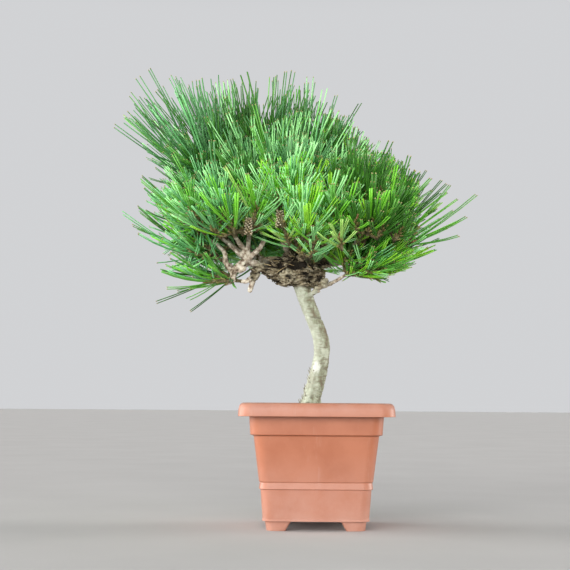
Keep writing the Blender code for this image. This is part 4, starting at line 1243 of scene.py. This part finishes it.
# %% Sprays straight on the limbs
# Sprays that stand straight on a limb: mass, limb, share along it, where they face, and the
# longest needle.
SIDE_SHOOTS = [
    ("needles_back_left", "bough_left_back", 0.34, (-0.6, 0.5, 0.3), 48),
    ("needles_back_left", "bough_left_back", 0.46, (-0.7, 0.1, -0.2), 48),
    ("needles_back_left", "bough_left_back", 0.55, (0.3, 0.5, 0.6), 48),
    ("needles_back_left", "bough_left_back", 0.66, (-0.8, -0.2, 0.1), 48),
    ("needles_back_left", "bough_left_back", 0.78, (0.2, -0.2, 0.8), 48),
    ("needles_back_left", "bough_left_back", 0.88, (-0.5, -0.4, -0.3), 48),
    ("needles_back_left", "bough_left_back", 0.72, (0.5, 0.3, -0.4), 48),
    ("needles_left", "bough_left", 0.72, (-0.3, 0.8, 0.4), 48),
    ("needles_left", "bough_left", 0.84, (-0.4, 0.6, -0.3), 48),
    ("needles_left", "bough_left", 0.90, (-0.5, -0.4, 1.0), 72),
    ("needles_front", "leader", 0.30, (-0.1, -0.8, 0.5), 50),
    ("needles_front", "leader", 0.42, (0.4, -0.8, 0.5), 50),
    ("needles_front", "leader", 0.52, (-0.4, -0.7, 0.7), 50),
    ("needles_front", "bough_front", 0.25, (-0.9, -0.35, -0.1), 38),
    ("needles_front", "bough_front", 0.62, (-0.8, -0.4, 0.4), 46),
    ("needles_front", "bough_front", 0.75, (0.8, -0.5, 0.3), 46),
    ("needles_front", "bough_front", 0.45, (0.25, -0.35, 1.0), 80),
    ("needles_front", "bough_front", 0.85, (0.35, -0.30, 1.0), 76),
    ("needles_front_right", "branch_front_right", 0.35, (0.3, -0.30, 1.0), 82),
    ("needles_front_right", "branch_front_right", 0.70, (0.45, -0.35, 1.0), 78),
    ("needles_front_right", "branch_front_right", 0.95, (0.1, -0.30, 1.0), 76),
    ("needles_upper_right", "branch_upper_right", 0.40, (0.4, -0.5, 1.0), 84),
    ("needles_upper_right", "branch_upper_right", 0.80, (0.2, -0.5, 1.0), 80),
    ("needles_front_top", "branch_front_top", 0.50, (-0.2, -0.3, 1.0), 88),
    ("needles_front_top", "branch_front_top", 0.90, (0.1, -0.3, 1.0), 88),
    ("needles_front_left", "branch_front_left", 0.80, (-0.3, -0.25, 1.0), 78),
    ("needles_right", "bough_right", 0.22, (0.1, -0.9, 0.2), 46),
    ("needles_right", "bough_right", 0.30, (0.3, -0.6, -0.5), 40),
    ("needles_right", "bough_right", 0.36, (0.5, -0.6, 0.5), 50),
    ("needles_right", "bough_right", 0.46, (0.6, -0.7, 0.1), 44),
    ("needles_right", "bough_right", 0.56, (0.7, -0.5, -0.2), 42),
    ("needles_right", "bough_right", 0.64, (0.5, 0.6, -0.1), 44),
    ("needles_right", "bough_right", 0.70, (0.6, -0.7, 0.2), 44),
    ("needles_right", "bough_right", 0.80, (0.7, -0.3, -0.2), 42),
    ("needles_back_right", "bough_right_back", 0.45, (0.6, 0.5, 0.2), 48),
    ("needles_back_right", "bough_right_back", 0.60, (0.8, 0.1, -0.1), 48),
    ("needles_back", "bough_back", 0.70, (0.7, 0.5, 0.1), 46),
    ("needles_back", "bough_back", 0.60, (-0.7, 0.5, 0.1), 46),
    ("needles_bottom_left", "branch_bottom_left", 0.95, (-0.85, -0.2, -0.65), 60),
    ("needles_bottom_left", "branch_bottom_left", 0.85, (-0.95, 0.2, -0.45), 66),
    ("needles_bottom_left", "branch_bottom_left", 0.95, (-1.0, -0.3, -0.20), 62),
]
SIDE_PAIRS = 18
WISP_PAIRS = 8
SIDE_AXIS = 13
SIDE_FOOT = 4
SWEEPING_NEEDLE = 70
SWEEPING_FAN = 26
SIDE_SHARE = (0.70, 1.0)


def side_shoots(mass):
    """Shoots straight on the limbs, which close the crown where its boughs leave the head."""
    shoots = []
    for owner, limb, share, facing, longest in SIDE_SHOOTS:
        if owner == mass:
            axis = (Vector(facing) + SHOOT_LIFT * UP).normalized()
            foot = limb_point(limb, share) + axis * (limb_radius(limb, share) + 1)
            pairs = WISP_PAIRS if mass in WISPS else SIDE_PAIRS
            shoots.append(((foot, foot + axis * SIDE_AXIS, axis), pairs, -longest))
    return shoots


# %% All the sprays of a mass
def crosses_clearing(heart, foot, tip):
    """Whether a twig from the heart to the foot, or the shoot on it, stands in a bare place."""
    points = [heart.lerp(foot, share) for share in (0.4, 0.6, 0.8, 1)] + [foot.lerp(tip, 0.5), tip]
    for low, high in BARE_PLACES:
        for point in points:
            if all(a < value < b for a, value, b in zip(low, point, high)):
                return True
    return False


def sprays_of(mass):
    """Every spray of a mass: its shoot, its pairs of needles, and how many are full length.

    For a spray straight on a limb the last number is its longest needle, negative."""
    outer, pairs, full, inner, inner_pairs = HABITS[habit_of(mass)][:5]
    sprays = [(shoot, pairs, full) for shoot in shoots_of(mass, outer)]
    sprays += [(shoot, inner_pairs, 0) for shoot in inner_shoots(mass, inner)]
    sprays += side_shoots(mass)
    for (foot, tip, axis), *rest in sprays:
        pulled = PULLED_BACK * max(tip.x - SHOOTS_END, 0)
        foot.x -= pulled
        tip.x -= pulled
    heart = Vector(MASSES[mass][1])
    return [spray for spray in sprays if not crosses_clearing(heart, *spray[0][:2])]


def nearest_wood(point, wood):
    """The wood that a new twig grows from: the nearest point on what is already there."""
    best = None
    for start, end in wood:
        run = end - start
        share = min(max((point - start).dot(run) / run.length_squared, 0), 0.85)
        place = start + run * share
        if best is None or (place - point).length < (best - point).length:
            best = place
    return best


# %% Grow the twigs
SPRAYS = {mass: sprays_of(mass) for mass in MASSES}
SHORTEST_SPRAY = 5
TWIG_PAIR_GAP = 2.0
TWIG_NEEDLE = 38
TWIG_KNOBS = [1.15, 0.9, 1.1, 0.85, 0.8]
TWIG_BEND = 0.12
SHOOT_PROFILE = [1.5, 1.7, 1.5, 1.2, 0.5]
SHOOT_PEGS = 26
TWIG_PEG_GAP = 2.2
PEG_LENGTH = (0.9, 1.6)
NO_BEND = Vector((0, 0, 0))
twig_sprays = []
twig_rows = []
shoot_rows = []
peg_rows = []
rng = random.Random("twigs")


def add_twig(start, end, radius):
    """One knobbly twig, which also becomes a shoot for short needles along it."""
    if (end - start).length > SHORTEST_SPRAY and not crosses_clearing(start, end, end):
        twig_sprays.append((start, end, (end - start).normalized()))
    run = end - start
    sideways = run.orthogonal().normalized()
    bend = Quaternion(run, rng.uniform(0, 6.28)) @ sideways * run.length * TWIG_BEND
    twig_rows.append((start, run - bend, bend, [radius * knob for knob in TWIG_KNOBS]))
    pegs_along(start, run, radius, int(run.length / TWIG_PEG_GAP))


def pegs_along(start, run, radius, count):
    """Bract scales in a spiral, pointing outwards and up the twig."""
    axis = run.normalized()
    side = run.orthogonal().normalized()
    for i in range(count):
        out = Quaternion(axis, i * GOLDEN_TURN) @ side
        foot = start + run * ((i + 0.5) / count) + out * radius * 0.7
        peg_rows.append((foot, (out * 0.8 + axis) * rng.uniform(*PEG_LENGTH)))


for mass, (limb, heart, *rest) in MASSES.items():
    heart = Vector(heart)
    tip = limb_point(limb, 0.97)
    wood = [(tip, heart)]
    add_twig(tip, heart, LIMBS[limb][4] * 0.95)
    twig_sprays.clear()
    for i, (shoot, pairs, full) in enumerate(SPRAYS[mass]):
        foot, shoot_tip, axis = shoot
        start = heart if i < SOURCE_SHOOTS else nearest_wood(foot, wood)
        if full < 0:
            start = foot - axis * SIDE_FOOT
        if (foot - start).length > 1:
            add_twig(start, foot, TWIG_RADIUS if i < SOURCE_SHOOTS else FINE_TWIG_RADIUS)
            wood.append((start, foot))
        shoot_rows.append((foot - axis, (shoot_tip - foot) * 1.06, NO_BEND, SHOOT_PROFILE))
        pegs_along(foot, shoot_tip - foot, SHOOT_PROFILE[0], SHOOT_PEGS)
    for shoot in twig_sprays:
        SPRAYS[mass].append((shoot, round((shoot[1] - shoot[0]).length / TWIG_PAIR_GAP), -TWIG_NEEDLE))

# %% Two old clusters of cone scales in front, each on a twig of its own
OLD_CONES = [
    ("needles_front_left", (-66.7, -62, 282), (0.5, -1.5, 16.5), 2.8),
    ("needles_front", (-36.7, -62, 289), (0.5, -1.5, 17.0), 3.0),
]
CONE_PROFILE = [0.7, 1.0, 1.0, 0.85, 0.4]
CONE_SCALES = 46
SCALE_OUT = (1.8, 2.8)
SCALE_UP = (0.4, 1.2)
cone_rows = []
for mass, foot, run, radius in OLD_CONES:
    foot, run = Vector(foot), Vector(run)
    add_twig(Vector(MASSES[mass][1]), foot + run * 0.1, TWIG_RADIUS)
    shoot_rows.append((foot, run, NO_BEND, [radius * share for share in CONE_PROFILE]))
    axis = run.normalized()
    for i in range(CONE_SCALES):
        share = (i + 0.5) / CONE_SCALES
        out = Quaternion(axis, i * GOLDEN_TURN) @ run.orthogonal().normalized()
        thick = radius * (1.05 - 0.45 * share * share)
        start = foot + run * share + out * thick * 0.7
        cone_rows.append((start, out * rng.uniform(*SCALE_OUT) + axis * rng.uniform(*SCALE_UP)))
print("twigs:", len(twig_rows), "shoots:", len(shoot_rows), "scales:", len(peg_rows) + len(cone_rows))

# %% Twig wood and scale materials
def bark_material(name, dark, middle, light, scale):
    material, shader = new_material(name, 0.85, 0.25)
    spots = speckle(material, object_place(material), scale, 4, 0.6)
    colour_from(material, shader, ramp(material, spots, (0.33, dark), (0.5, middle), (0.66, light)))
    roughen(material, shader, spots, 0.0004)
    return material


# Twigs and shoots are coloured dark: partly the wood's own brown, partly painted shade so that those inside
# the crown recede.
TWIG_TONES = ((0.040, 0.034, 0.016), (0.12, 0.10, 0.048), (0.27, 0.23, 0.13))
BRACT_TONES = ((0.06, 0.052, 0.018), (0.17, 0.145, 0.050), (0.36, 0.32, 0.15))
CONE_TONES = ((0.40, 0.27, 0.15), (0.66, 0.54, 0.37), (0.85, 0.80, 0.66))
PEG_PROFILE = [0.55, 0.12]
CONE_SCALE_PROFILE = [0.5, 1.25, 0.9]
twig_bark = bark_material("twig_bark", *TWIG_TONES, 300)
scale_bark = bark_material("bract_scales", *BRACT_TONES, 260)


def columns(rows):
    return [np.array([tuple(value) for value in column]) for column in zip(*rows)]


starts, runs, bends, radii = columns(twig_rows)
twig_batch = stalks(starts, runs, bends, radii, 7)
starts, runs, bends, radii = columns(shoot_rows)
shoot_batch = stalks(starts, runs, bends, radii, 7)
array_piece("twigs", [twig_batch, shoot_batch], twig_bark)
starts, runs = columns(peg_rows)
peg_radii = np.tile(PEG_PROFILE, (len(starts), 1))
pegs = stalks(starts, runs, runs * 0, peg_radii, 3, 0.6)
array_piece("bract_scales", [pegs], scale_bark)
starts, runs = columns(cone_rows)
cone_radii = np.tile(CONE_SCALE_PROFILE, (len(starts), 1))
cone_bark = bark_material("cone_scales", *CONE_TONES, 330)
cone_scales = stalks(starts, runs, runs * 0, cone_radii, 5, 0.6)
array_piece("cone_scales", [cone_scales], cone_bark)

# %% [markdown]
# ## Torn fibres, flakes and fallen needles
#
# Close up, the head is not smooth wood but torn fibres and thicker chips, and a few dry
# needles lie caught on it. These are stalks again, laid along the skin: each is arched so
# that its middle stands a little proud while both ends sink in. At the trunk's foot thin
# flakes lift off, short stalks that start in the skin and rise from it.

# %% Lay stalks along the skin
def laid_on_skin(places, lengths, lift, sink, level_share, rng):
    """Start, run and bend of stalks that lie on the skin at the numbered points of it."""
    rows = []
    for i in places:
        place, normal = Vector(raised[i]), normals[i]
        level = normal.cross(UP).normalized()
        steep = level.cross(normal)
        along = (level + steep * rng.gauss(0, 1 - level_share)).normalized() * rng.choice((-1, 1))
        length = rng.uniform(*lengths)
        arch = normal * 4 * (lift + sink)
        rows.append((place - along * length / 2 - normal * sink, along * length + arch, -arch, normal))
    return rows


FIBRE_COUNT = 260
CHIP_COUNT = 120
FLAKE_COUNT = 44
DRY_COUNT = 22
MOSTLY_TORN = 0.7
DEEPEST_FIBRE = -1.5
FLAKES_BELOW = 154
FLAKE_RISE = (2.0, 4.5)
rng = random.Random("fibres")
on_burl = [i for i in range(count) if burl[i] > MOSTLY_TORN and relief[i] > DEEPEST_FIBRE]
on_top = [i for i in on_burl if normals[i].z > 0.2 and normals[i].y < 0.3]
on_trunk = [i for i in range(count) if young[i] == 0 and burl[i] == 0]
on_foot = [i for i in on_trunk if raised[i][2] < FLAKES_BELOW and normals[i].x < -0.6]
fibres = laid_on_skin(rng.sample(on_burl, FIBRE_COUNT), (5, 12), 0.5, 0.5, 0.45, rng)
chips = laid_on_skin(rng.sample(on_burl, CHIP_COUNT), (3.5, 8), 0.7, 0.5, 0.4, rng)
flakes = []
for i in rng.sample(on_foot, FLAKE_COUNT):
    rise = (UP + 0.35 * normals[i]) * rng.uniform(*FLAKE_RISE)
    flakes.append((Vector(raised[i]) - normals[i] * 0.7, rise, normals[i] * 0.5, normals[i]))
dry = laid_on_skin(rng.sample(on_top, DRY_COUNT), (9, 18), 0.8, 0.2, 0.5, rng)

fibre_wood = bark_material("torn_fibre", (0.07, 0.05, 0.03), (0.24, 0.19, 0.115), (0.52, 0.46, 0.33), 240)
chip_wood = bark_material("torn_chips", (0.05, 0.038, 0.024), (0.21, 0.17, 0.105), (0.55, 0.50, 0.38), 170)
flake_bark = bark_material("bark_flakes", (0.13, 0.115, 0.085), (0.27, 0.25, 0.19), (0.46, 0.45, 0.36), 260)
dry_tan = bark_material("dry_needles", (0.30, 0.20, 0.09), (0.46, 0.34, 0.17), (0.62, 0.52, 0.30), 200)
for name, rows, profile, sides, flat, material in (
    ("torn_fibres", fibres, [0.15, 0.60, 0.75, 0.55, 0.15], 4, 0.6, fibre_wood),
    ("torn_chips", chips, [0.4, 1.3, 1.6, 1.2, 0.4], 5, 0.5, chip_wood),
    ("bark_flakes", flakes, [0.9, 1.2, 1.1, 0.8, 0.2], 4, 0.35, flake_bark),
    ("dry_needles", dry, [0.30, 0.42, 0.42, 0.36, 0.2], 4, 0.6, dry_tan),
):
    starts, runs, bends, thin = columns(rows)
    batch = stalks(starts, runs, bends, np.tile(profile, (len(starts), 1)), sides, flat, thin=thin)
    array_piece(name, [batch], material)

# %% [markdown]
# ## Needles
#
# Black pine needles are long, stiff and grow in pairs from a papery sheath. Round each
# shoot the pairs stand at the golden turn, the lower ones leaning out further, and those
# that lean far curve back up towards the light. Each needle is a three-sided stalk of five
# rings, and more than half have a blunt tan tip where they were cut. The crown was clipped
# to a low dome, so a pair that reaches past the cut is shortened twice and then skipped,
# apart from a few strays. A pair that would run into a limb is skipped too. Each spray
# draws its green out of eight by where it stands, and some pairs on it draw again.
# The greens also hold painted light and shade: darker at the top, paler low in the middle, and a pale painted
# sheen on the strands at the left.

# %% Keep the needles off the limbs
LIMB_PARTS = 6
TRUNK_PARTS = 14
LIMB_CLEAR = 0.8
STUB_CLEAR = 0.4
TRUNK_CLEAR_RADIUS = 9.6


def limb_runs():
    """Every limb, stub, lump and the trunk as straight runs: start, end and how far to keep off."""
    runs = []
    for name in LIMBS:
        for i in range(LIMB_PARTS):
            start, end = (limb_point(name, (i + step) / LIMB_PARTS) for step in (0, 1))
            runs.append((*start, *end, limb_radius(name, i / LIMB_PARTS) + LIMB_CLEAR))
    for points, first, last in STUBS:
        runs += [(*start, *end, first + STUB_CLEAR) for start, end in zip(points, points[1:])]
    for middle, half_sizes in HEAD_LUMPS:
        reach = Vector((half_sizes[0] * 0.5, 0, 0))
        start, end = Vector(middle) - reach, Vector(middle) + reach
        runs.append((*start, *end, max(half_sizes[1:]) * 1.1))
    for i in range(TRUNK_PARTS):
        start, end = (trunk_middle((i + step) / TRUNK_PARTS) for step in (0, 1))
        runs.append((*start, *end, TRUNK_CLEAR_RADIUS))
    return np.array(runs)


def clear_of_limbs(starts, ends):
    """True for each needle that keeps off every limb, tested at eight places along it."""
    runs = limb_runs()
    foot, along = runs[:, :3], runs[:, 3:6] - runs[:, :3]
    clear = np.ones(len(starts), bool)
    for share in np.linspace(0.08, 1, 8):
        points = starts + (ends - starts) * share
        offset = points[:, None] - foot[None]
        place = np.clip((offset * along).sum(2) / (along**2).sum(1), 0, 1)
        away = np.linalg.norm(offset - along[None] * place[:, :, None], axis=2)
        clear &= (away > runs[:, 6] * (1 if share > 0.1 else 0.6)).all(axis=1)
    return clear


# %% Which green grows where
TINTS = [
    "deep_green", "emerald", "mid_green", "blue_green",
    "pale_green", "fresh_green", "yellow_green", "straw_green",
]
# How often each tint is drawn in each part of the crown.
# The weights also paint light: deep greens darken the top, and pale, yellow and straw greens lighten the
# shaded middle and underside.
TINT_WEIGHTS = {
    "top": (2.6, 2.4, 0.6, 0.20, 0.05, 0.12, 0.01, 0.0),
    "left": (0.3, 0.6, 0.7, 2.4, 2.00, 0.40, 0.00, 0.0),
    "centre": (0.0, 0.0, 0.1, 0.8, 5.00, 0.50, 0.10, 0.1),
    "low": (0.0, 0.0, 0.0, 0.3, 4.00, 0.60, 1.00, 0.5),
    "right": (8.0, 0.0, 1.2, 0.00, 0.00, 0.40, 0.15, 0.0),
    "right_low": (1.2, 0.0, 1.4, 0.0, 0.30, 1.70, 0.60, 0.0),
    "bottom": (1.2, 0.9, 1.6, 0.5, 0.00, 0.20, 0.00, 0.0),
}


def ease(value, start, end):
    """From 0 at the start to 1 at the end, and no further."""
    return min(max((value - start) / (end - start), 0), 1)


def tint_of(foot, rng):
    """The tint of a spray by where it stands: bluer at the left and top, yellower at the right, darker at the
    top and paler low in the middle as painted shade and painted light.
    """
    right, low = ease(foot.x, -12, 40), ease(foot.z, 305, 285)
    shares = {"right": right * (1 - low), "right_low": right * low}
    rest = 1 - right
    shares["bottom"] = rest * ease(foot.z, 262, 250)
    rest -= shares["bottom"]
    shares["top"] = rest * ease(foot.z, 305, 345)
    rest -= shares["top"]
    shares["left"] = rest * ease(foot.x, -52, -88)
    rest -= shares["left"]
    shares["low"] = rest * low
    shares["centre"] = rest - shares["low"]
    weights = sum(share * np.array(TINT_WEIGHTS[place]) for place, share in shares.items())
    return rng.choices(TINTS, weights)[0]


# %% One pair on its shoot
MOST_PROUD = 0.006
SWEEP = 0.24
SIDE_BEND = 0.035
STRONG = 1.3
LOWEST_SLOPE = -0.12
SAME_TINT = 0.6


def pair_on(shoot, share, turn, length, fan, rng):
    """Root, run and bend of one pair of needles on a shoot."""
    foot, tip, axis = shoot
    lean = math.radians(fan + share * (TILT_AT_TIP - fan) + rng.uniform(-NEEDLE_JITTER, NEEDLE_JITTER))
    out = Quaternion(axis, turn) @ axis.orthogonal().normalized()
    direction = axis * math.cos(lean) + out * math.sin(lean)
    root = foot.lerp(tip, 0.1 + 0.9 * share) + out * 0.9
    level = 1 - abs(direction.z)
    sideways = Vector([rng.gauss(0, SIDE_BEND) for axis in range(3)])
    bend = UP * length * SWEEP * level * level + sideways * length
    return root, direction * length, bend


def in_clearing(starts, ends):
    """True for each needle that crosses a clearing."""
    inside = np.zeros(len(starts), bool)
    for share in np.linspace(0.1, 1, 9):
        points = starts + (ends - starts) * share
        for low, high in CLEARINGS:
            inside |= ((points > np.array(low)) & (points < np.array(high))).all(axis=1)
    return inside


# %% Where the grower cut
# The grower's cuts, as boxes of needle tips, each with the share of strays that was missed.
TRIMMED = [
    ((106, -200, 255), (136, 200, 400), 0.08),
    ((118, -200, 200), (250, 200, 420), 0.06),
    ((94, -200, 250), (118, 200, 420), 0.16),
    ((-190, -200, 250), (-160, 200, 325), 0.30),
    ((-160, -200, 250), (-146, 200, 430), 0.60),
    ((72, -200, 200), (250, 200, 250), 0.0),
    ((-250, -200, 325), (-174, 200, 392), 0.05),
    ((-174, -200, 325), (-160, 200, 380), 0.40),
    ((-62, -200, 415), (-47, 200, 480), 0.12),
]
# The dome they were cut to: x, and how high the tips reach there.
DOME = [
    (-94, 480), (-80, 453), (-20, 452), (4, 441), (16, 420), (40, 413),
    (52, 398), (64, 380), (88, 364), (112, 337), (160, 325),
]
DOME_STRAYS = 0.1
SHORTENED = (0.7, 0.7)
# The lowest that tips may hang, in millimetres; strong ones may hang lower on the lowest masses.
LOWEST_TIP = 244
LOW_MASS = 240
LOWEST_TIPS = {
    "needles_bottom_left": 214,
    "needles_left_low": 225,
    "needles_left": 240,
    "needles_right_low": 241,
    "needles_back_left": 252,
    "needles_back": 252,
}


def past_cuts(ends, facts):
    """True for each pair whose tips lie where the grower cut, apart from the strays."""
    dome_x, dome_z = np.array(DOME).T
    past = (ends[:, 2] > np.interp(ends[:, 0], dome_x, dome_z)) & (facts[:, 1] >= DOME_STRAYS)
    for low, high, stray_share in TRIMMED:
        inside = ((ends > np.array(low)) & (ends < np.array(high))).all(axis=1)
        past |= inside & (facts[:, 1] >= stray_share)
    return past


# %% Grow the pairs
# A pair's facts: its tint, two chances from 0 to 1, its width and how low its tips may hang.
pair_rows = []
rng = random.Random("pairs")
for mass, sprays in SPRAYS.items():
    longest, facing, mass_fan = MASSES[mass][3:]
    part_length = HABITS[habit_of(mass)][5]
    for shoot, pairs, full in sprays:
        is_inner = full <= 0
        main_tint = tint_of(shoot[0], rng)
        turn = rng.uniform(0, 2 * math.pi)
        long_ones = set(rng.sample(range(pairs), max(full, 0)))
        for i in range(pairs):
            turn += GOLDEN_TURN + rng.uniform(-0.2, 0.2)
            if full < 0:
                length = rng.uniform(*SIDE_SHARE) * -full / longest
                fan = SWEEPING_FAN if -full > SWEEPING_NEEDLE or mass in WISPS else INNER_FAN
            elif is_inner:
                length, fan = rng.uniform(*INNER_LENGTH), INNER_FAN
            elif i in long_ones:
                length, fan = rng.uniform(*FULL_LENGTH), mass_fan * (WISP_FAN if mass in WISPS else FULL_FAN)
            else:
                length, fan = rng.uniform(*part_length), min(mass_fan * PART_FAN, WIDEST_FAN)
            placed = pair_on(shoot, (i + 0.5) / pairs, turn, length * longest, fan, rng)
            width = STRONG if i in long_ones else 1
            tint = TINTS.index(main_tint if rng.random() < SAME_TINT else tint_of(shoot[0], rng))
            chances = (0.0 if mass in FRINGED and i in long_ones else rng.random(), rng.random())
            if mass in DROOPING or placed[1].normalized().z > LOWEST_SLOPE:
                pair_rows.append((*placed, (tint, *chances, width, LOWEST_TIPS.get(mass, LOWEST_TIP))))

# %% Add the long strays, then cut
# Long pairs that the grower missed at the right: about where each starts, and where it ends.
MISSED = [
    ((94, -30, 281), (156, -44, 326)),
    ((90, -34, 272), (145, -50, 303)),
    ((104, -20, 292), (132, -28, 338)),
    ((92, -30, 268), (136, -60, 283)),
]
MISSED_BEND = 7
MISSED_CHANCES = (0.03, 0.4)
right_shoots = [spray[0] for mass in ("needles_right", "needles_right_low") for spray in SPRAYS[mass]]
for start, end in MISSED:
    foot, tip, axis = min(right_shoots, key=lambda shoot: (shoot[1] - Vector(start)).length)
    root, bend = foot.lerp(tip, 0.8), UP * MISSED_BEND
    missed_facts = (TINTS.index("mid_green"), *MISSED_CHANCES, STRONG, LOWEST_TIP)
    pair_rows.append((root, Vector(end) - bend - root, bend, missed_facts))
    print("missed pair from", tuple(round(value) for value in root))
roots, runs, bends, facts = columns(pair_rows)
for share in SHORTENED:
    cut = past_cuts(roots + runs + bends, facts)
    runs[cut] *= share
    bends[cut] *= share
ends = roots + runs + bends
keep = clear_of_limbs(roots, ends) & ~in_clearing(roots, ends)
tips = ends * MM + np.array(POT_MIDDLE)
keep &= (tips > np.array(solids_box[0]) - MOST_PROUD).all(axis=1)
keep &= (tips < np.array(solids_box[1]) + MOST_PROUD).all(axis=1)
keep &= (ends[:, 2] > facts[:, 4]) | (facts[:, 3] > 1) & (facts[:, 4] < LOW_MASS)
keep &= ~past_cuts(ends, facts)
roots, runs, bends, facts = roots[keep], runs[keep], bends[keep], facts[keep]
print("pairs of needles:", len(roots), "skipped:", int((~keep).sum()))

# %% Sizes and greens of the needles
NEEDLE_WIDTH = 0.82
NEEDLE_FLAT = 0.6
NEEDLE_PROFILE = np.array([0.8, 1.0, 1.0, 1.0, 0.85])
PAIR_APART = 0.035
SHEATH_LENGTH = 5.0
SHEATH_RADII = [1.15, 1.0]
TIP_LENGTH = 1.3
TIPPED = 0.55
GREENS = {
    "deep_green": ((0.032, 0.132, 0.015), (0.068, 0.240, 0.028)),
    "emerald": ((0.060, 0.215, 0.062), (0.125, 0.345, 0.125)),
    "mid_green": ((0.095, 0.350, 0.038), (0.165, 0.480, 0.080)),
    "blue_green": ((0.120, 0.420, 0.130), (0.230, 0.600, 0.240)),
    # Painted light: this pale green stands for the sheen on the strands at the left and lifts the shaded
    # middle and underside.
    "pale_green": ((0.290, 0.730, 0.235), (0.430, 0.880, 0.370)),
    "fresh_green": ((0.150, 0.540, 0.028), (0.240, 0.680, 0.060)),
    "yellow_green": ((0.200, 0.540, 0.020), (0.310, 0.700, 0.050)),
    "straw_green": ((0.330, 0.620, 0.120), (0.500, 0.800, 0.230)),
}


# %% The needles' material
def needle_material(name, dark, light):
    """Waxy green with a soft sheen, a little uneven along the needles."""
    material, shader = new_material(name, 0.38, 0.3)
    uneven = speckle(material, object_place(material), 45, 3, 0.6)
    colour_from(material, shader, ramp(material, uneven, (0.32, dark), (0.68, light)))
    return material


def across(runs):
    """A level direction square to each run, along which a pair stands side by side."""
    side = np.cross(runs, [[0.3, 0.4, 0.87]])
    return side / np.linalg.norm(side, axis=1, keepdims=True)


# %% Make the needles, green by green
pair_side = across(runs)
lengths = np.linalg.norm(runs, axis=1, keepdims=True)
tip_batches = []
for tint, (dark, light) in GREENS.items():
    mine = facts[:, 0] == TINTS.index(tint)
    batches = []
    for sign in (-1, 1):
        apart = pair_side[mine] * sign
        spread = apart * lengths[mine] * (0.01 + PAIR_APART * facts[mine, 1:2])
        starts = roots[mine] + apart * 0.45
        own_run = runs[mine] * (1 - 0.04 * facts[mine, 2:3] * (sign > 0)) + spread
        width = NEEDLE_WIDTH * facts[mine, 3:4] * (0.9 + 0.2 * facts[mine, 2:3]) * NEEDLE_PROFILE[None]
        turns = facts[mine, 1] * 6.28 + sign
        batches.append(stalks(starts, own_run, bends[mine], width, 3, NEEDLE_FLAT, turns))
        tipped = facts[mine, 2] < TIPPED
        ends = starts + own_run + bends[mine]
        ahead = own_run + 2 * bends[mine]
        ahead /= np.linalg.norm(ahead, axis=1, keepdims=True)
        tip_width = np.repeat(width[:, -1:] * 1.12, 2, axis=1)
        tip_width[:, 1] *= 0.75
        foot = ends - ahead * TIP_LENGTH * 0.6
        tips = stalks(foot, ahead * TIP_LENGTH, ahead * 0, tip_width, 3, NEEDLE_FLAT, turns)
        tip_batches.append((tips[0][tipped], tips[1]))
    replaced = list(MASSES) if tint == "mid_green" else ()
    array_piece("needles_" + tint, batches, needle_material(tint, dark, light), replaced)

# %% Cut tips and sheaths
TIP_TAN = ((0.30, 0.24, 0.09), (0.50, 0.42, 0.20))
SHEATH_BROWN = ((0.15, 0.125, 0.035), (0.34, 0.29, 0.11))
array_piece("needle_tips", tip_batches, needle_material("cut_tips", *TIP_TAN))
ahead = runs / lengths
sheath_radii = np.tile(SHEATH_RADII, (len(roots), 1))
sheaths = stalks(roots - ahead, ahead * SHEATH_LENGTH, bends * 0, sheath_radii, 4)
array_piece("needle_sheaths", [sheaths], needle_material("sheaths", *SHEATH_BROWN))
print("longest pair:", round(float(lengths.max())), "mm, shortest:", round(float(lengths.min())), "mm")

# %% [markdown]
# ## Buds
#
# Some shoots end in a winter bud, a small orange-brown spindle. It is one more stalk, with
# six sides and a swollen middle.

# %% Winter buds
BUD_SHARE = 0.2
BUD_PROFILE = [1.0, 1.6, 1.7, 1.2, 0.3]
BUD_LENGTH = 7.0
bud_rows = []
for mass, sprays in SPRAYS.items():
    for shoot, pairs, full in sprays:
        if full >= 0 and rng.random() < BUD_SHARE:
            bud_rows.append((shoot[1], shoot[2] * BUD_LENGTH, NO_BEND, BUD_PROFILE))
buds = stalks(*columns(bud_rows), 6)
bud_brown = bark_material("bud_scales", (0.14, 0.06, 0.025), (0.30, 0.155, 0.070), (0.50, 0.35, 0.20), 700)
array_piece("winter_buds", [buds], bud_brown)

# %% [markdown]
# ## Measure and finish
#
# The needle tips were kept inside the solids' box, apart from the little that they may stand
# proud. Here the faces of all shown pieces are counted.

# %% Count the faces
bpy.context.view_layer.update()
total = sum(len(obj.data.polygons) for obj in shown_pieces() if obj.type == "MESH")
print("faces in all:", total)
